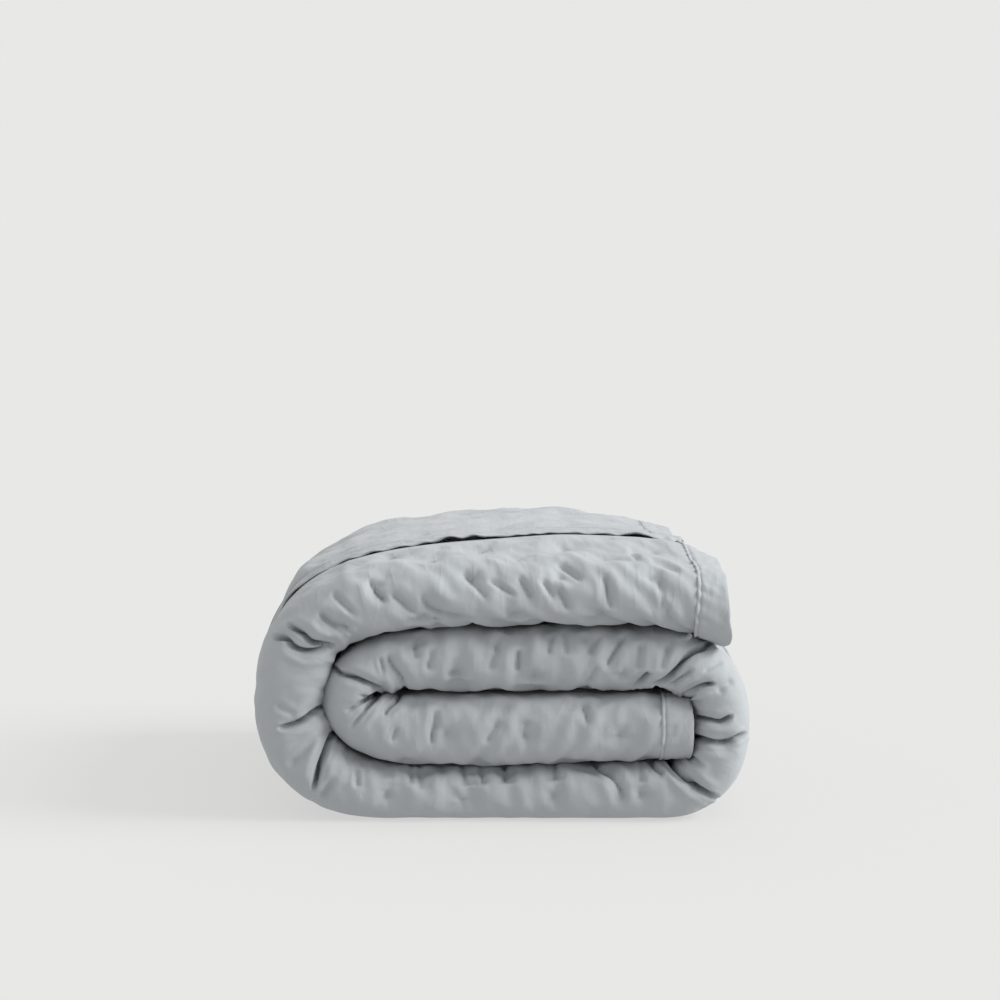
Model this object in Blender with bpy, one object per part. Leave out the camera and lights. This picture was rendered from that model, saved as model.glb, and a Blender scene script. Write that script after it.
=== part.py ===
"""A filled quilt, folded in three across its width and wound into a flattened roll.

Metres, +Z up, origin on the floor under the middle of the roll, its front folds towards -Y.
The strip's middle line runs in X and Z, from the outer end at the top right to the inner end.
"""

import math

import bpy
import numpy as np

MM = 0.001

# Sizes of the roll, in millimetres
HALF_DEPTH = 288.0
BACK_INSET = 4.0
BACK_WANDER = 3.0
EDGE_WANDER = 5.0
TURN_GAP = 1.3
TIGHT_TURN_GAP = 3.0
TIGHT_RADIUS = 60.0
TIGHTEST_SHARE = 0.8
LAYER_GAP = 1.2
NEXT_TURN_FROM = 200.0
CORE_REACH = 300.0
FACING_FROM = 50.0
ROOM_WINDOW = 6
FLOOR_SINK = 1.6
BACK_TAPER = 0.06
END_THIN = 22.0
END_THIN_REACH = 230.0
END_THIN_FROM = -150.0
END_THIN_RUN = 250.0
LYING_SLOPE = -0.7

# Sizes of the cloth, in millimetres
BINDING_WIDTH = 33.0
BINDING_THICK = 3.0
OUTER_DROOP = -46.0
INNER_DROOP = 24.0
SEAM_GAP = 0.6
SEAM_THICK = 6.0
PAD_TAPER = 30.0
END_PAD = 0.75
ROW_PITCH = 51.0
FLAP_ROW = 26.0
FLAP_ROWS = 6
TUFT_DEPTH = 8.0
TIE_SHARPNESS = 2.2

# Sizes of the three-layer fold, in millimetres
FLAP_SKEW = 54.0
NOSE_SKEW = 19.0
MIDDLE_SKEW = 35.0
FLAP_SKEW_REACH = 420.0
FLAP_TAPER = 100.0
FLAP_RISE_RUN = 90.0
DIP_RUN = 28.0
BACK_FOLD = 50.0
BACK_HOLLOW = 24.0
BACK_EDGE = 62.0
TIP_THICK = 12.0
FRONT_HOLLOW = 7.0
NOSE_BLUNTNESS = 0.92
INNER_SHOULDER = 43.0

# The middle line of the strip, one row for each place along it:
# name, x, z, half thickness
PLACES = (
    ("outer_end", 256, 234.5, 40.0),
    ("top_right", 221, 245, 39.5),
    ("top_1", 165, 254, 39.0),
    ("top_2", 87, 257, 39.0),
    ("top_3", -2, 256, 39.0),
    ("top_4", -80, 253, 39.0),
    ("top_5", -142, 245, 38.5),
    ("left_1", -192, 228, 38.0),
    ("left_2", -223, 199, 38.0),
    ("left_3", -237, 163, 38.0),
    ("left_4", -238, 130, 38.0),
    ("left_5", -233, 96.5, 38.5),
    ("left_6", -218, 69, 39.0),
    ("left_7", -192, 47, 37.0),
    ("floor_1", -153, 34, 33.0),
    ("floor_2", -91, 30.5, 30.5),
    ("floor_3", -2, 30, 30.0),
    ("floor_4", 87, 31.5, 31.5),
    ("floor_5", 154, 33, 32.5),
    ("right_1", 203, 40, 37.0),
    ("right_2", 234, 62, 36.0),
    ("right_3", 244, 92, 32.5),
    ("right_4", 244, 124, 32.0),
    ("right_5", 235.5, 152, 33.5),
    ("right_6", 210, 172, 34.5),
    ("inner_1", 171, 179, 35.0),
    ("inner_2", 109, 180.5, 36.0),
    ("inner_3", 20, 179.5, 36.0),
    ("inner_4", -69, 179, 35.5),
    ("inner_5", -119, 175.5, 33.0),
    ("turn_1", -156, 164.5, 31.0),
    ("turn_2", -171, 142, 29.5),
    ("turn_3", -161, 119, 33.0),
    ("core_1", -131, 105, 37.5),
    ("core_2", -69, 102, 40.0),
    ("core_3", 20, 102, 40.0),
    ("core_4", 109, 104, 39.0),
    ("core_5", 165, 105, 38.0),
    ("inner_end", 211, 106, 36.0),
)

# How the fold's front changes along the strip: place, how far the fold stands forward, nose height,
# outer shoulder, crown of the cloth behind it, rise of the flap, how far back the flap's edge lies
FRONTS = (
    ("outer_end", 0, -8, 62, 13.0, 9.0, 190),
    ("top_2", 0, -12, 72, 13.0, 9.0, 190),
    ("top_5", -2, -10, 70, 5.0, 9.0, 160),
    ("left_3", -4, -2, 56, 0.0, 5.0, 150),
    ("left_7", -10, 0, 48, 0.0, 0.0, 150),
    ("floor_3", -14, 0, 42, 0.0, 0.0, 150),
    ("right_1", -8, 0, 46, 0.0, 0.0, 150),
    ("right_4", -6, 0, 52, 0.0, 0.0, 150),
    ("inner_2", -12, -4, 46, 0.0, 0.0, 150),
    ("turn_2", -10, 0, 42, 0.0, 0.0, 150),
    ("core_3", -6, 0, 44, 0.0, 0.0, 150),
    ("inner_end", -8, 0, 44, 0.0, 0.0, 150),
)

# Where the ties meet the nose of the fold: place, shift along the strip, number of the tie
TIES = (
    ("outer_end", 37, 0),
    ("top_2", -28, 1),
    ("top_3", -17, 2),
    ("top_4", 7, 3),
    ("left_1", -3, 4),
    ("left_6", 18, 6),
    ("floor_2", 47, 8),
    ("floor_3", 60, 9),
    ("floor_5", 0, 10),
    ("inner_3", -16, 14),
    ("core_3", 7, 19),
    ("core_4", 21, 20),
    ("inner_end", 0, 20.8),
)

# The deep creases across the strip: place, shift along the strip, depth, slant at the front
CREASES = (
    ("top_2", -18, 5.0, 16),
    ("top_4", -30, 5.0, -18),
    ("left_2", 2, 10.0, 6),
    ("left_5", -6, 8.0, -10),
    ("left_7", 4, 11.0, 10),
    ("floor_4", 36, 6.0, 12),
    ("right_2", -24, 12.0, 8),
    ("right_3", 14, 8.0, 6),
    ("right_6", -6, 11.0, -12),
    ("inner_2", 2, 6.0, -10),
    ("inner_5", -6, 8.0, 12),
    ("turn_2", 0, 7.0, 0),
)
CREASE_HALF = 10.0
BACK_SHARE = 0.6
NOSE_SPREAD = 0.55
BACK_SPREAD = 0.45

# How finely the middle line is read and the sections are set
LEG_STEPS = 24
SAMPLES = 1000
LINE_SOFTENING = 12.0
ROOM_SOFTENING = 6.0
SECTIONS_PER_TIE = 4

CLOTH_COLOUR = (0.42, 0.46, 0.49, 1.0)
BINDING_COLOUR = (0.44, 0.48, 0.51, 1.0)
CLOTH_ROUGHNESS = 0.85


def ease(t):
    """A smooth step from 0 to 1."""
    t = np.clip(t, 0.0, 1.0)
    return t * t * (3.0 - 2.0 * t)


def mix(a, b, t):
    return a + (b - a) * t


def smooth_line(rows):
    """A curve through the rows' points, evenly eased in and out of each (centripetal spline)."""
    rows = np.array(rows, float)
    padded = np.vstack([2 * rows[0] - rows[1], rows, 2 * rows[-1] - rows[-2]])
    t = np.linspace(0.0, 1.0, LEG_STEPS, endpoint=False)[:, None]
    legs = []
    for i in range(1, len(padded) - 2):
        p0, p1, p2, p3 = padded[i - 1 : i + 3]
        d0, d1, d2 = (
            math.sqrt(np.linalg.norm((b - a)[:2])) for a, b in ((p0, p1), (p1, p2), (p2, p3))
        )
        m1 = p2 - p1 + d1 * ((p1 - p0) / d0 - (p2 - p0) / (d0 + d1))
        m2 = p2 - p1 + d1 * ((p3 - p2) / d2 - (p3 - p1) / (d1 + d2))
        legs.append((2 * (p1 - p2) + m1 + m2) * t**3 + (3 * (p2 - p1) - 2 * m1 - m2) * t**2 + m1 * t + p1)
    return np.vstack(legs + [padded[-2:-1]])


def softened(rows, reach, step):
    """Each column averaged over a bell of this reach, with the ends kept."""
    count = int(3 * reach / step)
    offset = np.arange(-count, count + 1) * step
    bell = np.exp(-0.5 * (offset / reach) ** 2)
    bell /= bell.sum()
    before = 2 * rows[0] - rows[count:0:-1]
    after = 2 * rows[-1] - rows[-2 : -count - 2 : -1]
    padded = np.vstack([before, rows, after])
    return np.column_stack([np.convolve(column, bell, "valid") for column in padded.T])


def reach_to(start, way, walls, allowed):
    """How far each ray runs before it meets a wall, and which wall it meets.

    walls are the corners of one open line; allowed says which wall each ray may meet.
    """
    edge = np.diff(walls, axis=0)
    gap = walls[None, :-1] - start[:, None]
    cross = way[:, None, 0] * edge[None, :, 1] - way[:, None, 1] * edge[None, :, 0]
    cross = np.where(np.abs(cross) < 1e-9, 1e-9, cross)
    far = (gap[..., 0] * edge[None, :, 1] - gap[..., 1] * edge[None, :, 0]) / cross
    share = (gap[..., 0] * way[:, None, 1] - gap[..., 1] * way[:, None, 0]) / cross
    met = (far > 1.0) & (share >= 0.0) & (share <= 1.0) & allowed
    far = np.where(met, far, 1e3)
    return far.min(axis=1), far.argmin(axis=1)


class Strip:
    """The strip's middle line, with its direction, its outward side and what changes along it."""

    def __init__(self):
        line = smooth_line([row[1:] for row in PLACES])
        step = np.linalg.norm(np.diff(line[:, :2], axis=0), axis=1)
        run = np.concatenate([[0.0], np.cumsum(step)])
        self.length = run[-1]
        self.names = {row[0]: run[LEG_STEPS * i] for i, row in enumerate(PLACES)}
        self.along = np.linspace(0.0, self.length, SAMPLES)
        even = np.column_stack([np.interp(self.along, run, column) for column in line.T])
        even = softened(even, LINE_SOFTENING, self.length / SAMPLES)
        self.line = even[:, :2]
        self.half = even[:, 2] - TURN_GAP / 2
        way = np.gradient(self.line, axis=0)
        way /= np.linalg.norm(way, axis=1)[:, None]
        self.out = np.column_stack([way[:, 1], -way[:, 0]])
        turn = np.gradient(np.unwrap(np.arctan2(way[:, 1], way[:, 0])), self.along)
        self.radius = 1.0 / np.maximum(np.abs(turn), 1e-4)
        self.inside = self.room_inside() / self.half
        self.fronts = self.table(FRONTS, 1)
        self.ties = self.table(TIES, 2, 1)[0]

    def room_inside(self):
        """The half thickness on the roll's inner side: as the outer one, or what the next turn leaves."""
        later = self.along[None, :-1] - self.along[:, None]
        skin = self.line + self.out * self.half[:, None]
        end_face = self.line[-1] - self.out[-1] * self.half[-1]
        allowed = np.column_stack([later > NEXT_TURN_FROM, np.ones(SAMPLES, bool)])
        allowed[self.along > self.length - CORE_REACH] = False
        to_skin, _ = reach_to(self.line, -self.out, np.vstack([skin, end_face]), allowed)
        facing = (self.out @ self.out[:-1].T < 0) & (np.abs(later) > FACING_FROM)
        to_line, met = reach_to(self.line, -self.out, self.line, facing)
        parting = TURN_GAP + TIGHT_TURN_GAP * np.exp(-((self.radius / TIGHT_RADIUS) ** 2))
        shared = (to_line - parting) * self.half / (self.half + self.half[met])
        bend = self.radius * TIGHTEST_SHARE
        room = np.minimum.reduce([self.half + 1.0, bend, to_skin - TURN_GAP, shared])
        lowest = [room[max(0, i - ROOM_WINDOW) : i + ROOM_WINDOW + 1].min() for i in range(SAMPLES)]
        return softened(np.array(lowest)[:, None], ROOM_SOFTENING, self.length / SAMPLES)[:, 0]

    def table(self, rows, first, shift=None):
        """The columns of a table of places, read all along the strip."""
        at = [self.names[row[0]] + (row[shift] if shift else 0.0) for row in rows]
        return [np.interp(self.along, at, column) for column in list(zip(*rows))[first:]]

    def at(self, s, values):
        return np.interp(s, self.along, values)


STRIP = Strip()


def stations(first, last):
    """Places for the sections: four to a tie pitch, closer at tight bends and creases."""
    numbers = np.arange(STRIP.ties[0], STRIP.ties[-1], 1 / SECTIONS_PER_TIE)
    places = list(np.interp(numbers, STRIP.ties, STRIP.along))
    for a, b in zip(places[:-1], places[1:]):
        if STRIP.at((a + b) / 2, STRIP.radius) < TIGHT_RADIUS:
            places.append((a + b) / 2)
    creases = [STRIP.names[name] + shift for name, shift, _, _ in CREASES]
    clear = [first, last] + creases
    places = [s for s in places if first < s < last and min(abs(s - c) for c in clear) > CREASE_HALF * 1.5]
    for c in creases:
        places += [c - CREASE_HALF, c, c + CREASE_HALF]
    return np.array([first] + sorted(places) + [last])


def arc(count, start, end):
    """Angles between two angles in degrees, without the ends."""
    return np.radians(np.linspace(start, end, count + 2)[1:-1])


def profile(s, pad):
    """The section's corners at one place: the cloth's outer skin, then its inner skin back.

    Each list holds depth (Y), height above the middle line, and the panel number along the cloth,
    from 0 at the flap's edge to 5 at the edge that lies inside the fold. pad is 1 where the filling
    is full and 0 where only the cloth is left. Hidden faces share their depths, so they stay apart.
    """
    half = STRIP.at(s, STRIP.half)
    forward, nose, shoulder, crown, rise, setback = (STRIP.at(s, column) for column in STRIP.fronts)
    front = -HALF_DEPTH - forward
    back = HALF_DEPTH - BACK_INSET - BACK_WANDER * math.sin(s / 97.0)
    edge = front + setback + EDGE_WANDER * math.sin(s / 61.0)
    seam = edge + BINDING_WIDTH + SEAM_GAP
    full = edge + FLAP_TAPER
    back_start = back - BACK_FOLD
    middle_front = front + shoulder
    middle_end = back - BACK_EDGE
    base_front = front + INNER_SHOULDER
    third = (2 * half + crown + rise - 2 * LAYER_GAP) / 3
    two = half - LAYER_GAP / 2
    lap = min(rise, BINDING_THICK + LAYER_GAP)

    def crowned(y):
        return half + crown * ease((y - middle_front) / (edge - DIP_RUN - middle_front))

    def flap_top(y):
        return half + crown + mix(lap, rise, ease((y - edge) / FLAP_RISE_RUN))

    def flap_base(y):
        filled = mix(SEAM_THICK, third, min(1.0, (y - seam) / (full - seam)))
        return flap_top(y) - mix(BINDING_THICK, filled, pad)

    # The lowest layer's hidden face, then the middle layer's two faces, at the same depths
    crease = front + mix(BINDING_THICK, two, pad)
    hollow = mix(INNER_SHOULDER - BINDING_THICK, FRONT_HOLLOW, pad)
    depths = np.array([crease + hollow, edge - DIP_RUN, full, middle_end])
    base_top = mix(BINDING_THICK, np.array([two, two, third, third]), pad) - half
    lap_top, tip_top = flap_base(full) - LAYER_GAP, flap_base(middle_end) - LAYER_GAP
    thin_top = np.array([crowned(depths[0]), crowned(depths[1]), lap_top, tip_top])
    thin_base = thin_top - mix(BINDING_THICK, TIP_THICK, pad)
    middle_base = np.append(base_top[:3] + LAYER_GAP, tip_top - TIP_THICK)
    middle_base = mix(thin_base, middle_base, ease(pad * 1.5))

    outer = []
    rows = seam + FLAP_ROW + ROW_PITCH * np.arange(FLAP_ROWS)
    for y in [seam, *rows, back_start]:
        outer.append((y, flap_top(y), (y - edge) / (back_start - edge)))
    for a in arc(5, 90, -90):
        y = back_start + BACK_FOLD * math.cos(a)
        lift = (crown + rise) / 2
        outer.append((y, lift + (half + lift) * math.sin(a), 1.5 - a / math.pi))
    for y in np.linspace(back_start, base_front, 4):
        outer.append((y, -half, 2.0 + (back_start - y) / (back_start - base_front)))
    for a in arc(8, -90, 90):
        depth = INNER_SHOULDER if a < 0 else shoulder
        tall = half + nose if a < 0 else half - nose
        y = front + depth * (1 - abs(math.cos(a)) ** NOSE_BLUNTNESS)
        n = nose + tall * math.copysign(abs(math.sin(a)) ** NOSE_BLUNTNESS, a)
        outer.append((y, n, 3.5 + a / math.pi))
    under_edge = flap_top(edge) - BINDING_THICK - LAYER_GAP
    tops = [(y, crowned(y)) for y in np.linspace(middle_front, edge - DIP_RUN, 4)]
    tops += [(edge - BINDING_THICK, under_edge), (seam, flap_base(seam) - LAYER_GAP)]
    tops += [(full, lap_top), (middle_end, tip_top)]
    for y, n in tops:
        outer.append((y, n, 4.0 + (y - middle_front) / (middle_end - middle_front)))
    outer.append((middle_end + BINDING_THICK / 2, (tip_top + middle_base[3]) / 2, 5.0))

    inner = []
    for y, n in zip(depths[::-1], middle_base[::-1]):
        inner.append((y, n, 4.0 + (y - depths[0]) / (middle_end - depths[0])))
    for a in arc(3, 90, -90):
        y = crease + hollow * (1 - math.cos(a))
        inner.append((y, mix(base_top[0], middle_base[0], 0.5 + 0.5 * math.sin(a)), 3.5 + a / math.pi))
    for y, n in zip(depths, base_top):
        inner.append((y, n, 3.0 - (y - depths[0]) / (back_start - depths[0])))
    for a in arc(3, -90, 90):
        y = back_start + mix(BACK_FOLD - BINDING_THICK, BACK_HOLLOW, pad) * math.cos(a)
        n = mix(base_top[3], flap_base(back_start), 0.5 + 0.5 * math.sin(a))
        inner.append((y, n, 1.5 - a / math.pi))
    for y in (back_start, middle_end, full, seam):
        inner.append((y, flap_base(y), (y - edge) / (back_start - edge)))
    return np.array(outer), np.array(inner)


def row_number(outer):
    """The row of ties at each corner of the outer skin, counted from the nose or the flap's seam."""
    step = np.hypot(np.diff(outer[:, 0]), np.diff(outer[:, 1]))
    run = np.concatenate([[0.0], np.cumsum(step)])
    from_nose = run - np.interp(3.5, outer[:, 2], run)
    return np.where(outer[:, 2] < 2.0, run - FLAP_ROW, from_nose) / ROW_PITCH


def tie_dimples(s, rows):
    """How deep the skin is drawn in by the staggered ties, between 0 and 1."""
    pattern = np.cos(2 * math.pi * STRIP.at(s, STRIP.ties)) * np.cos(math.pi * rows)
    return ((1 + pattern) / 2) ** TIE_SHARPNESS


def skew(s, panel):
    """How far the cloth is drawn back along the strip near the outer end, least under the nose."""
    flap = FLAP_SKEW * (1.0 - ease((panel - 1.5) / 1.5))
    nose = NOSE_SKEW * np.clip(panel - 3.0, 0.0, 1.0)
    middle = MIDDLE_SKEW * np.clip(panel - 4.0, 0.0, 1.0)
    return (flap + nose + middle) * ease(1.0 - s / FLAP_SKEW_REACH)


def crease_at(s):
    """The depth and the slant of the crease at this section."""
    depth, slant = 0.0, 0.0
    for name, shift, deep, lean in CREASES:
        gap = abs(s - STRIP.names[name] - shift)
        if gap < CREASE_HALF * 0.5:
            depth = deep
        if gap < CREASE_HALF * 1.5:
            slant = lean
    return depth, slant


def placed(s, y, n):
    """Section corners at their places along the strip, in the room.

    The roll is lower at its back, and the layers are thinner there towards the outer end.
    """
    half = STRIP.at(s, STRIP.half)
    thin = END_THIN * (1.0 - ease(s / END_THIN_REACH)) * ease((y - END_THIN_FROM) / END_THIN_RUN)
    n = n - thin * np.clip((n + half) / (2 * half), 0.0, 1.0)
    n = np.where(n < 0, n * STRIP.at(s, STRIP.inside), n)
    x = STRIP.at(s, STRIP.line[:, 0]) + n * STRIP.at(s, STRIP.out[:, 0])
    z = STRIP.at(s, STRIP.line[:, 1]) + n * STRIP.at(s, STRIP.out[:, 1])
    z = z * (1.0 - BACK_TAPER * (y + HALF_DEPTH) / (2 * HALF_DEPTH))
    return np.column_stack([x, y, z])


def floored(points):
    """In metres, with what would sink into the floor laid flat on it."""
    points[:, 2] = np.maximum(points[:, 2] - FLOOR_SINK, 0.0)
    return points * MM


def inward(outer):
    """Unit directions into the cloth at the corners of the outer skin."""
    way = np.gradient(outer[:, :2], axis=0)
    way /= np.linalg.norm(way, axis=1)[:, None]
    return np.column_stack([way[:, 1], -way[:, 0]])


def quilt_section(s, pad):
    """One ring of the quilt's body, as points in the room."""
    outer, inner = profile(s, pad)
    panel = outer[:, 2]
    nose_share = np.exp(-(((panel - 3.5) / NOSE_SPREAD) ** 2))
    back_share = BACK_SHARE * np.exp(-(((panel - 1.5) / BACK_SPREAD) ** 2))
    depth, slant = crease_at(s)
    lying = STRIP.at(s, STRIP.out[:, 1]) < LYING_SLOPE
    seen = (panel < 4.5) & ~(lying & ((panel < 1.2) | (panel > 4.0)))
    dimple = TUFT_DEPTH * seen * tie_dimples(s, row_number(outer))
    pull = pad * (dimple + depth * (nose_share + back_share))
    outer[:, :2] += inward(outer) * pull[:, None]
    lean = slant * nose_share * (panel - 3.5) * 2
    points = np.vstack([outer, inner])
    shift = np.concatenate([lean, np.zeros(len(inner))]) + skew(s, points[:, 2])
    return placed(s + shift, points[:, 0], points[:, 1])


def zipped(first, second, first_at, second_at):
    """Triangles between two rows of points that run side by side."""
    faces = []
    i = j = 0
    while i < len(first) - 1 or j < len(second) - 1:
        go_first = j == len(second) - 1 or (i < len(first) - 1 and first_at[i + 1] <= second_at[j + 1])
        if go_first:
            faces.append((first[i], first[i + 1], second[j]))
            i += 1
        else:
            faces.append((first[i], second[j + 1], second[j]))
            j += 1
    return faces


def swept(rings, outer_at, inner_at):
    """A closed solid through rings of points, with its two ends closed."""
    count = len(rings[0])
    outer_count = len(outer_at)
    points = np.vstack(rings)
    faces = []
    for r in range(len(rings) - 1):
        for k in range(count):
            a, b = r * count + k, r * count + (k + 1) % count
            faces.append((a, b, b + count, a + count))
    for start, turned in ((0, True), ((len(rings) - 1) * count, False)):
        first = [start + k for k in range(outer_count)]
        second = [start + count - 1 - k for k in range(count - outer_count)]
        cap = zipped(first, second, outer_at, inner_at)
        faces += [f[::-1] if turned else f for f in cap]
    return points, faces


def solid(name, points, faces, material):
    """A named object from points and faces, turned so that its faces point out."""
    corners = [points[[f[0], f[k], f[k + 1]]] for f in faces for k in range(1, len(f) - 1)]
    inside_out = np.linalg.det(np.array(corners)).sum() < 0
    mesh = bpy.data.meshes.new(name)
    mesh.from_pydata(points.tolist(), [], [f[::-1] for f in faces] if inside_out else faces)
    mesh.materials.append(material)
    mesh.shade_smooth()
    obj = bpy.data.objects.new(name, mesh)
    bpy.context.scene.collection.objects.link(obj)
    return obj


def cloth(name, colour):
    """A matt cloth material."""
    material = bpy.data.materials.new(name)
    material.use_nodes = True
    shader = material.node_tree.nodes["Principled BSDF"]
    shader.inputs["Base Color"].default_value = colour
    shader.inputs["Roughness"].default_value = CLOTH_ROUGHNESS
    shader.inputs["Metallic"].default_value = 0.0
    return material


def make_quilt(material):
    """The filled cloth, one closed solid from seam to seam."""
    first = BINDING_WIDTH + SEAM_GAP
    last = STRIP.length - BINDING_WIDTH - SEAM_GAP
    rings = []
    for s in stations(first, last):
        pad = mix(END_PAD, 1.0, ease(min(s - first, last - s) / PAD_TAPER))
        rings.append(quilt_section(s, pad))
    outer, inner = profile(first, END_PAD)
    points, faces = swept(rings, outer[:, 2], inner[::-1, 2])
    return solid("quilt", floored(points), faces, material)


def make_end_binding(name, seam_at, edge_at, droop, panels, material):
    """A doubled band of cloth at an end of the strip, following the fold of its three layers.

    droop is how far the panels between the two numbers in panels hang inwards at the band's edge.
    """
    rings = []
    for s in np.linspace(min(seam_at, edge_at), max(seam_at, edge_at), 3):
        outer, _ = profile(s, 0.0)
        share = np.clip((outer[:, 2] - panels[0]) / (panels[1] - panels[0]), 0.0, 1.0)
        outer[:, 1] += droop * np.sin(math.pi * share) * (s - seam_at) / (edge_at - seam_at)
        lining = outer.copy()
        lining[:, :2] += inward(outer) * BINDING_THICK
        both = np.vstack([outer, lining[::-1]])
        rings.append(placed(s + skew(s, both[:, 2]), both[:, 0], both[:, 1]))
    points, faces = swept(rings, outer[:, 2], outer[:, 2])
    return solid(name, floored(points), faces, material)


def make_edge_binding(material):
    """The band along the flap's free edge, from the outer end to the inner end."""
    rings = []
    for s in stations(0.0, STRIP.length):
        outer, _ = profile(s, 1.0)
        seam = outer[0, 0] - SEAM_GAP
        edge = seam - BINDING_WIDTH
        high = outer[0, 1]
        crown, rise = STRIP.at(s, STRIP.fronts[3]), STRIP.at(s, STRIP.fronts[4])
        low = STRIP.at(s, STRIP.half) + crown + min(rise, BINDING_THICK + LAYER_GAP)
        y = np.array([seam, edge + 1.0, edge, edge + 1.0, seam])
        n = np.array([high, low, low - BINDING_THICK / 2, low - BINDING_THICK, high - BINDING_THICK])
        rings.append(placed(s + skew(s, outer[0, 2]), y, n))
    points, faces = swept(rings, [0.0, 0.5, 1.0], [0.0, 1.0])
    return solid("binding_long_edge", floored(points), faces, material)


def main():
    for obj in list(bpy.data.objects):
        bpy.data.objects.remove(obj)
    quilt_cloth = cloth("washed_cloth", CLOTH_COLOUR)
    binding_cloth = cloth("binding_cloth", BINDING_COLOUR)
    make_quilt(quilt_cloth)
    last = STRIP.length
    make_end_binding("binding_outer_end", BINDING_WIDTH, 0.0, OUTER_DROOP, (4, 6), binding_cloth)
    make_end_binding("binding_inner_end", last - BINDING_WIDTH, last, INNER_DROOP, (2, 3), binding_cloth)
    make_edge_binding(binding_cloth)


main()
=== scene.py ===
"""A filled quilt, folded in three and rolled up, dressed around its solids.

Lengths are in millimetres until a mesh is made, and +Z is up, with the front folds towards -Y.
"""

import math

import bpy
import numpy as np
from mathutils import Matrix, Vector


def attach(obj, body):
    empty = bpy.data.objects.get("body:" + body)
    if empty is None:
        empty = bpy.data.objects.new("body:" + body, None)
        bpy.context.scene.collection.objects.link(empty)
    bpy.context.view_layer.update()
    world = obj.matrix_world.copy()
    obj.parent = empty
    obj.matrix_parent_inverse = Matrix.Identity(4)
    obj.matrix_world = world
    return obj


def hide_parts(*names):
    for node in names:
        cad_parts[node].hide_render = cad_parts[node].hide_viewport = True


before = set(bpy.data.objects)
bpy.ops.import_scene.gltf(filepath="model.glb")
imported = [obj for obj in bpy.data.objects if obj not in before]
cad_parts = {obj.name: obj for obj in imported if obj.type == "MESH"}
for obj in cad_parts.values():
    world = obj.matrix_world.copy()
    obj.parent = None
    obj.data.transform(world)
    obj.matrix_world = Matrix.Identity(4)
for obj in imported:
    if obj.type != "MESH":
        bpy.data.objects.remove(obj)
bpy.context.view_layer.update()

# The quilt: two covers of washed plain cloth with a soft filling between them, sewn to one pad.
# It is folded in three across its width, and the strip is wound into a flattened roll.
# Ties on a staggered grid hold the filling, and the cloth puckers around them.

# The middle line of the strip: x, z, half thickness
PLACES = {
    "outer_end": (256, 234.5, 40.0),
    "top_right": (221, 245, 39.5),
    "top_1": (165, 254, 39.0),
    "top_2": (87, 257, 39.0),
    "top_3": (-2, 256, 39.0),
    "top_4": (-80, 253, 39.0),
    "top_5": (-142, 245, 38.5),
    "left_1": (-192, 228, 38.0),
    "left_2": (-223, 199, 38.0),
    "left_3": (-237, 163, 38.0),
    "left_4": (-238, 130, 38.0),
    "left_5": (-233, 96.5, 38.5),
    "left_6": (-218, 69, 39.0),
    "left_7": (-192, 47, 37.0),
    "floor_1": (-153, 34, 33.0),
    "floor_2": (-91, 30.5, 30.5),
    "floor_3": (-2, 30, 30.0),
    "floor_4": (87, 31.5, 31.5),
    "floor_5": (154, 33, 32.5),
    "right_1": (203, 40, 37.0),
    "right_2": (234, 62, 36.0),
    "right_3": (244, 92, 32.5),
    "right_4": (244, 124, 32.0),
    "right_5": (235.5, 152, 33.5),
    "right_6": (210, 172, 34.5),
    "inner_1": (171, 179, 35.0),
    "inner_2": (109, 180.5, 36.0),
    "inner_3": (20, 179.5, 36.0),
    "inner_4": (-69, 179, 35.5),
    "inner_5": (-119, 175.5, 33.0),
    "turn_1": (-156, 164.5, 31.0),
    "turn_2": (-171, 142, 29.5),
    "turn_3": (-161, 119, 33.0),
    "core_1": (-131, 105, 37.5),
    "core_2": (-69, 102, 40.0),
    "core_3": (20, 102, 40.0),
    "core_4": (109, 104, 39.0),
    "core_5": (165, 105, 38.0),
    "inner_end": (211, 106, 36.0),
}

# How the fold's front changes along the strip: place, how far it stands forward, nose height,
# outer shoulder, crown of the cloth behind it, rise of the flap, how far back the flap's edge lies
FRONTS = (
    ("outer_end", 0, -8, 62, 13.0, 9.0, 190),
    ("top_2", 0, -12, 72, 13.0, 9.0, 190),
    ("top_5", -2, -10, 70, 5.0, 9.0, 160),
    ("left_3", -4, -2, 56, 0.0, 5.0, 150),
    ("left_7", -10, 0, 48, 0.0, 0.0, 150),
    ("floor_3", -14, 0, 42, 0.0, 0.0, 150),
    ("right_1", -8, 0, 46, 0.0, 0.0, 150),
    ("right_4", -6, 0, 52, 0.0, 0.0, 150),
    ("inner_2", -12, -4, 46, 0.0, 0.0, 150),
    ("turn_2", -10, 0, 42, 0.0, 0.0, 150),
    ("core_3", -6, 0, 44, 0.0, 0.0, 150),
    ("inner_end", -8, 0, 44, 0.0, 0.0, 150),
)

# Where the ties meet the nose of the fold: place, shift along the strip, number of the tie,
# how many rows the tie nearest to the nose lies above it
TIES = (
    ("outer_end", 37, 0, -0.3),
    ("top_2", -28, 1, -0.3),
    ("top_3", -17, 2, -0.3),
    ("top_4", 7, 3, -0.3),
    ("left_1", -3, 4, -0.3),
    ("left_6", 18, 6, -0.1),
    ("floor_2", 47, 8, 0.1),
    ("floor_3", 60, 9, 0.0),
    ("floor_5", 0, 10, 0.0),
    ("inner_3", -16, 14, -0.3),
    ("core_3", 7, 19, 0.1),
    ("core_4", 21, 20, 0.1),
    ("inner_end", 0, 20.8, 0.1),
)

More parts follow.
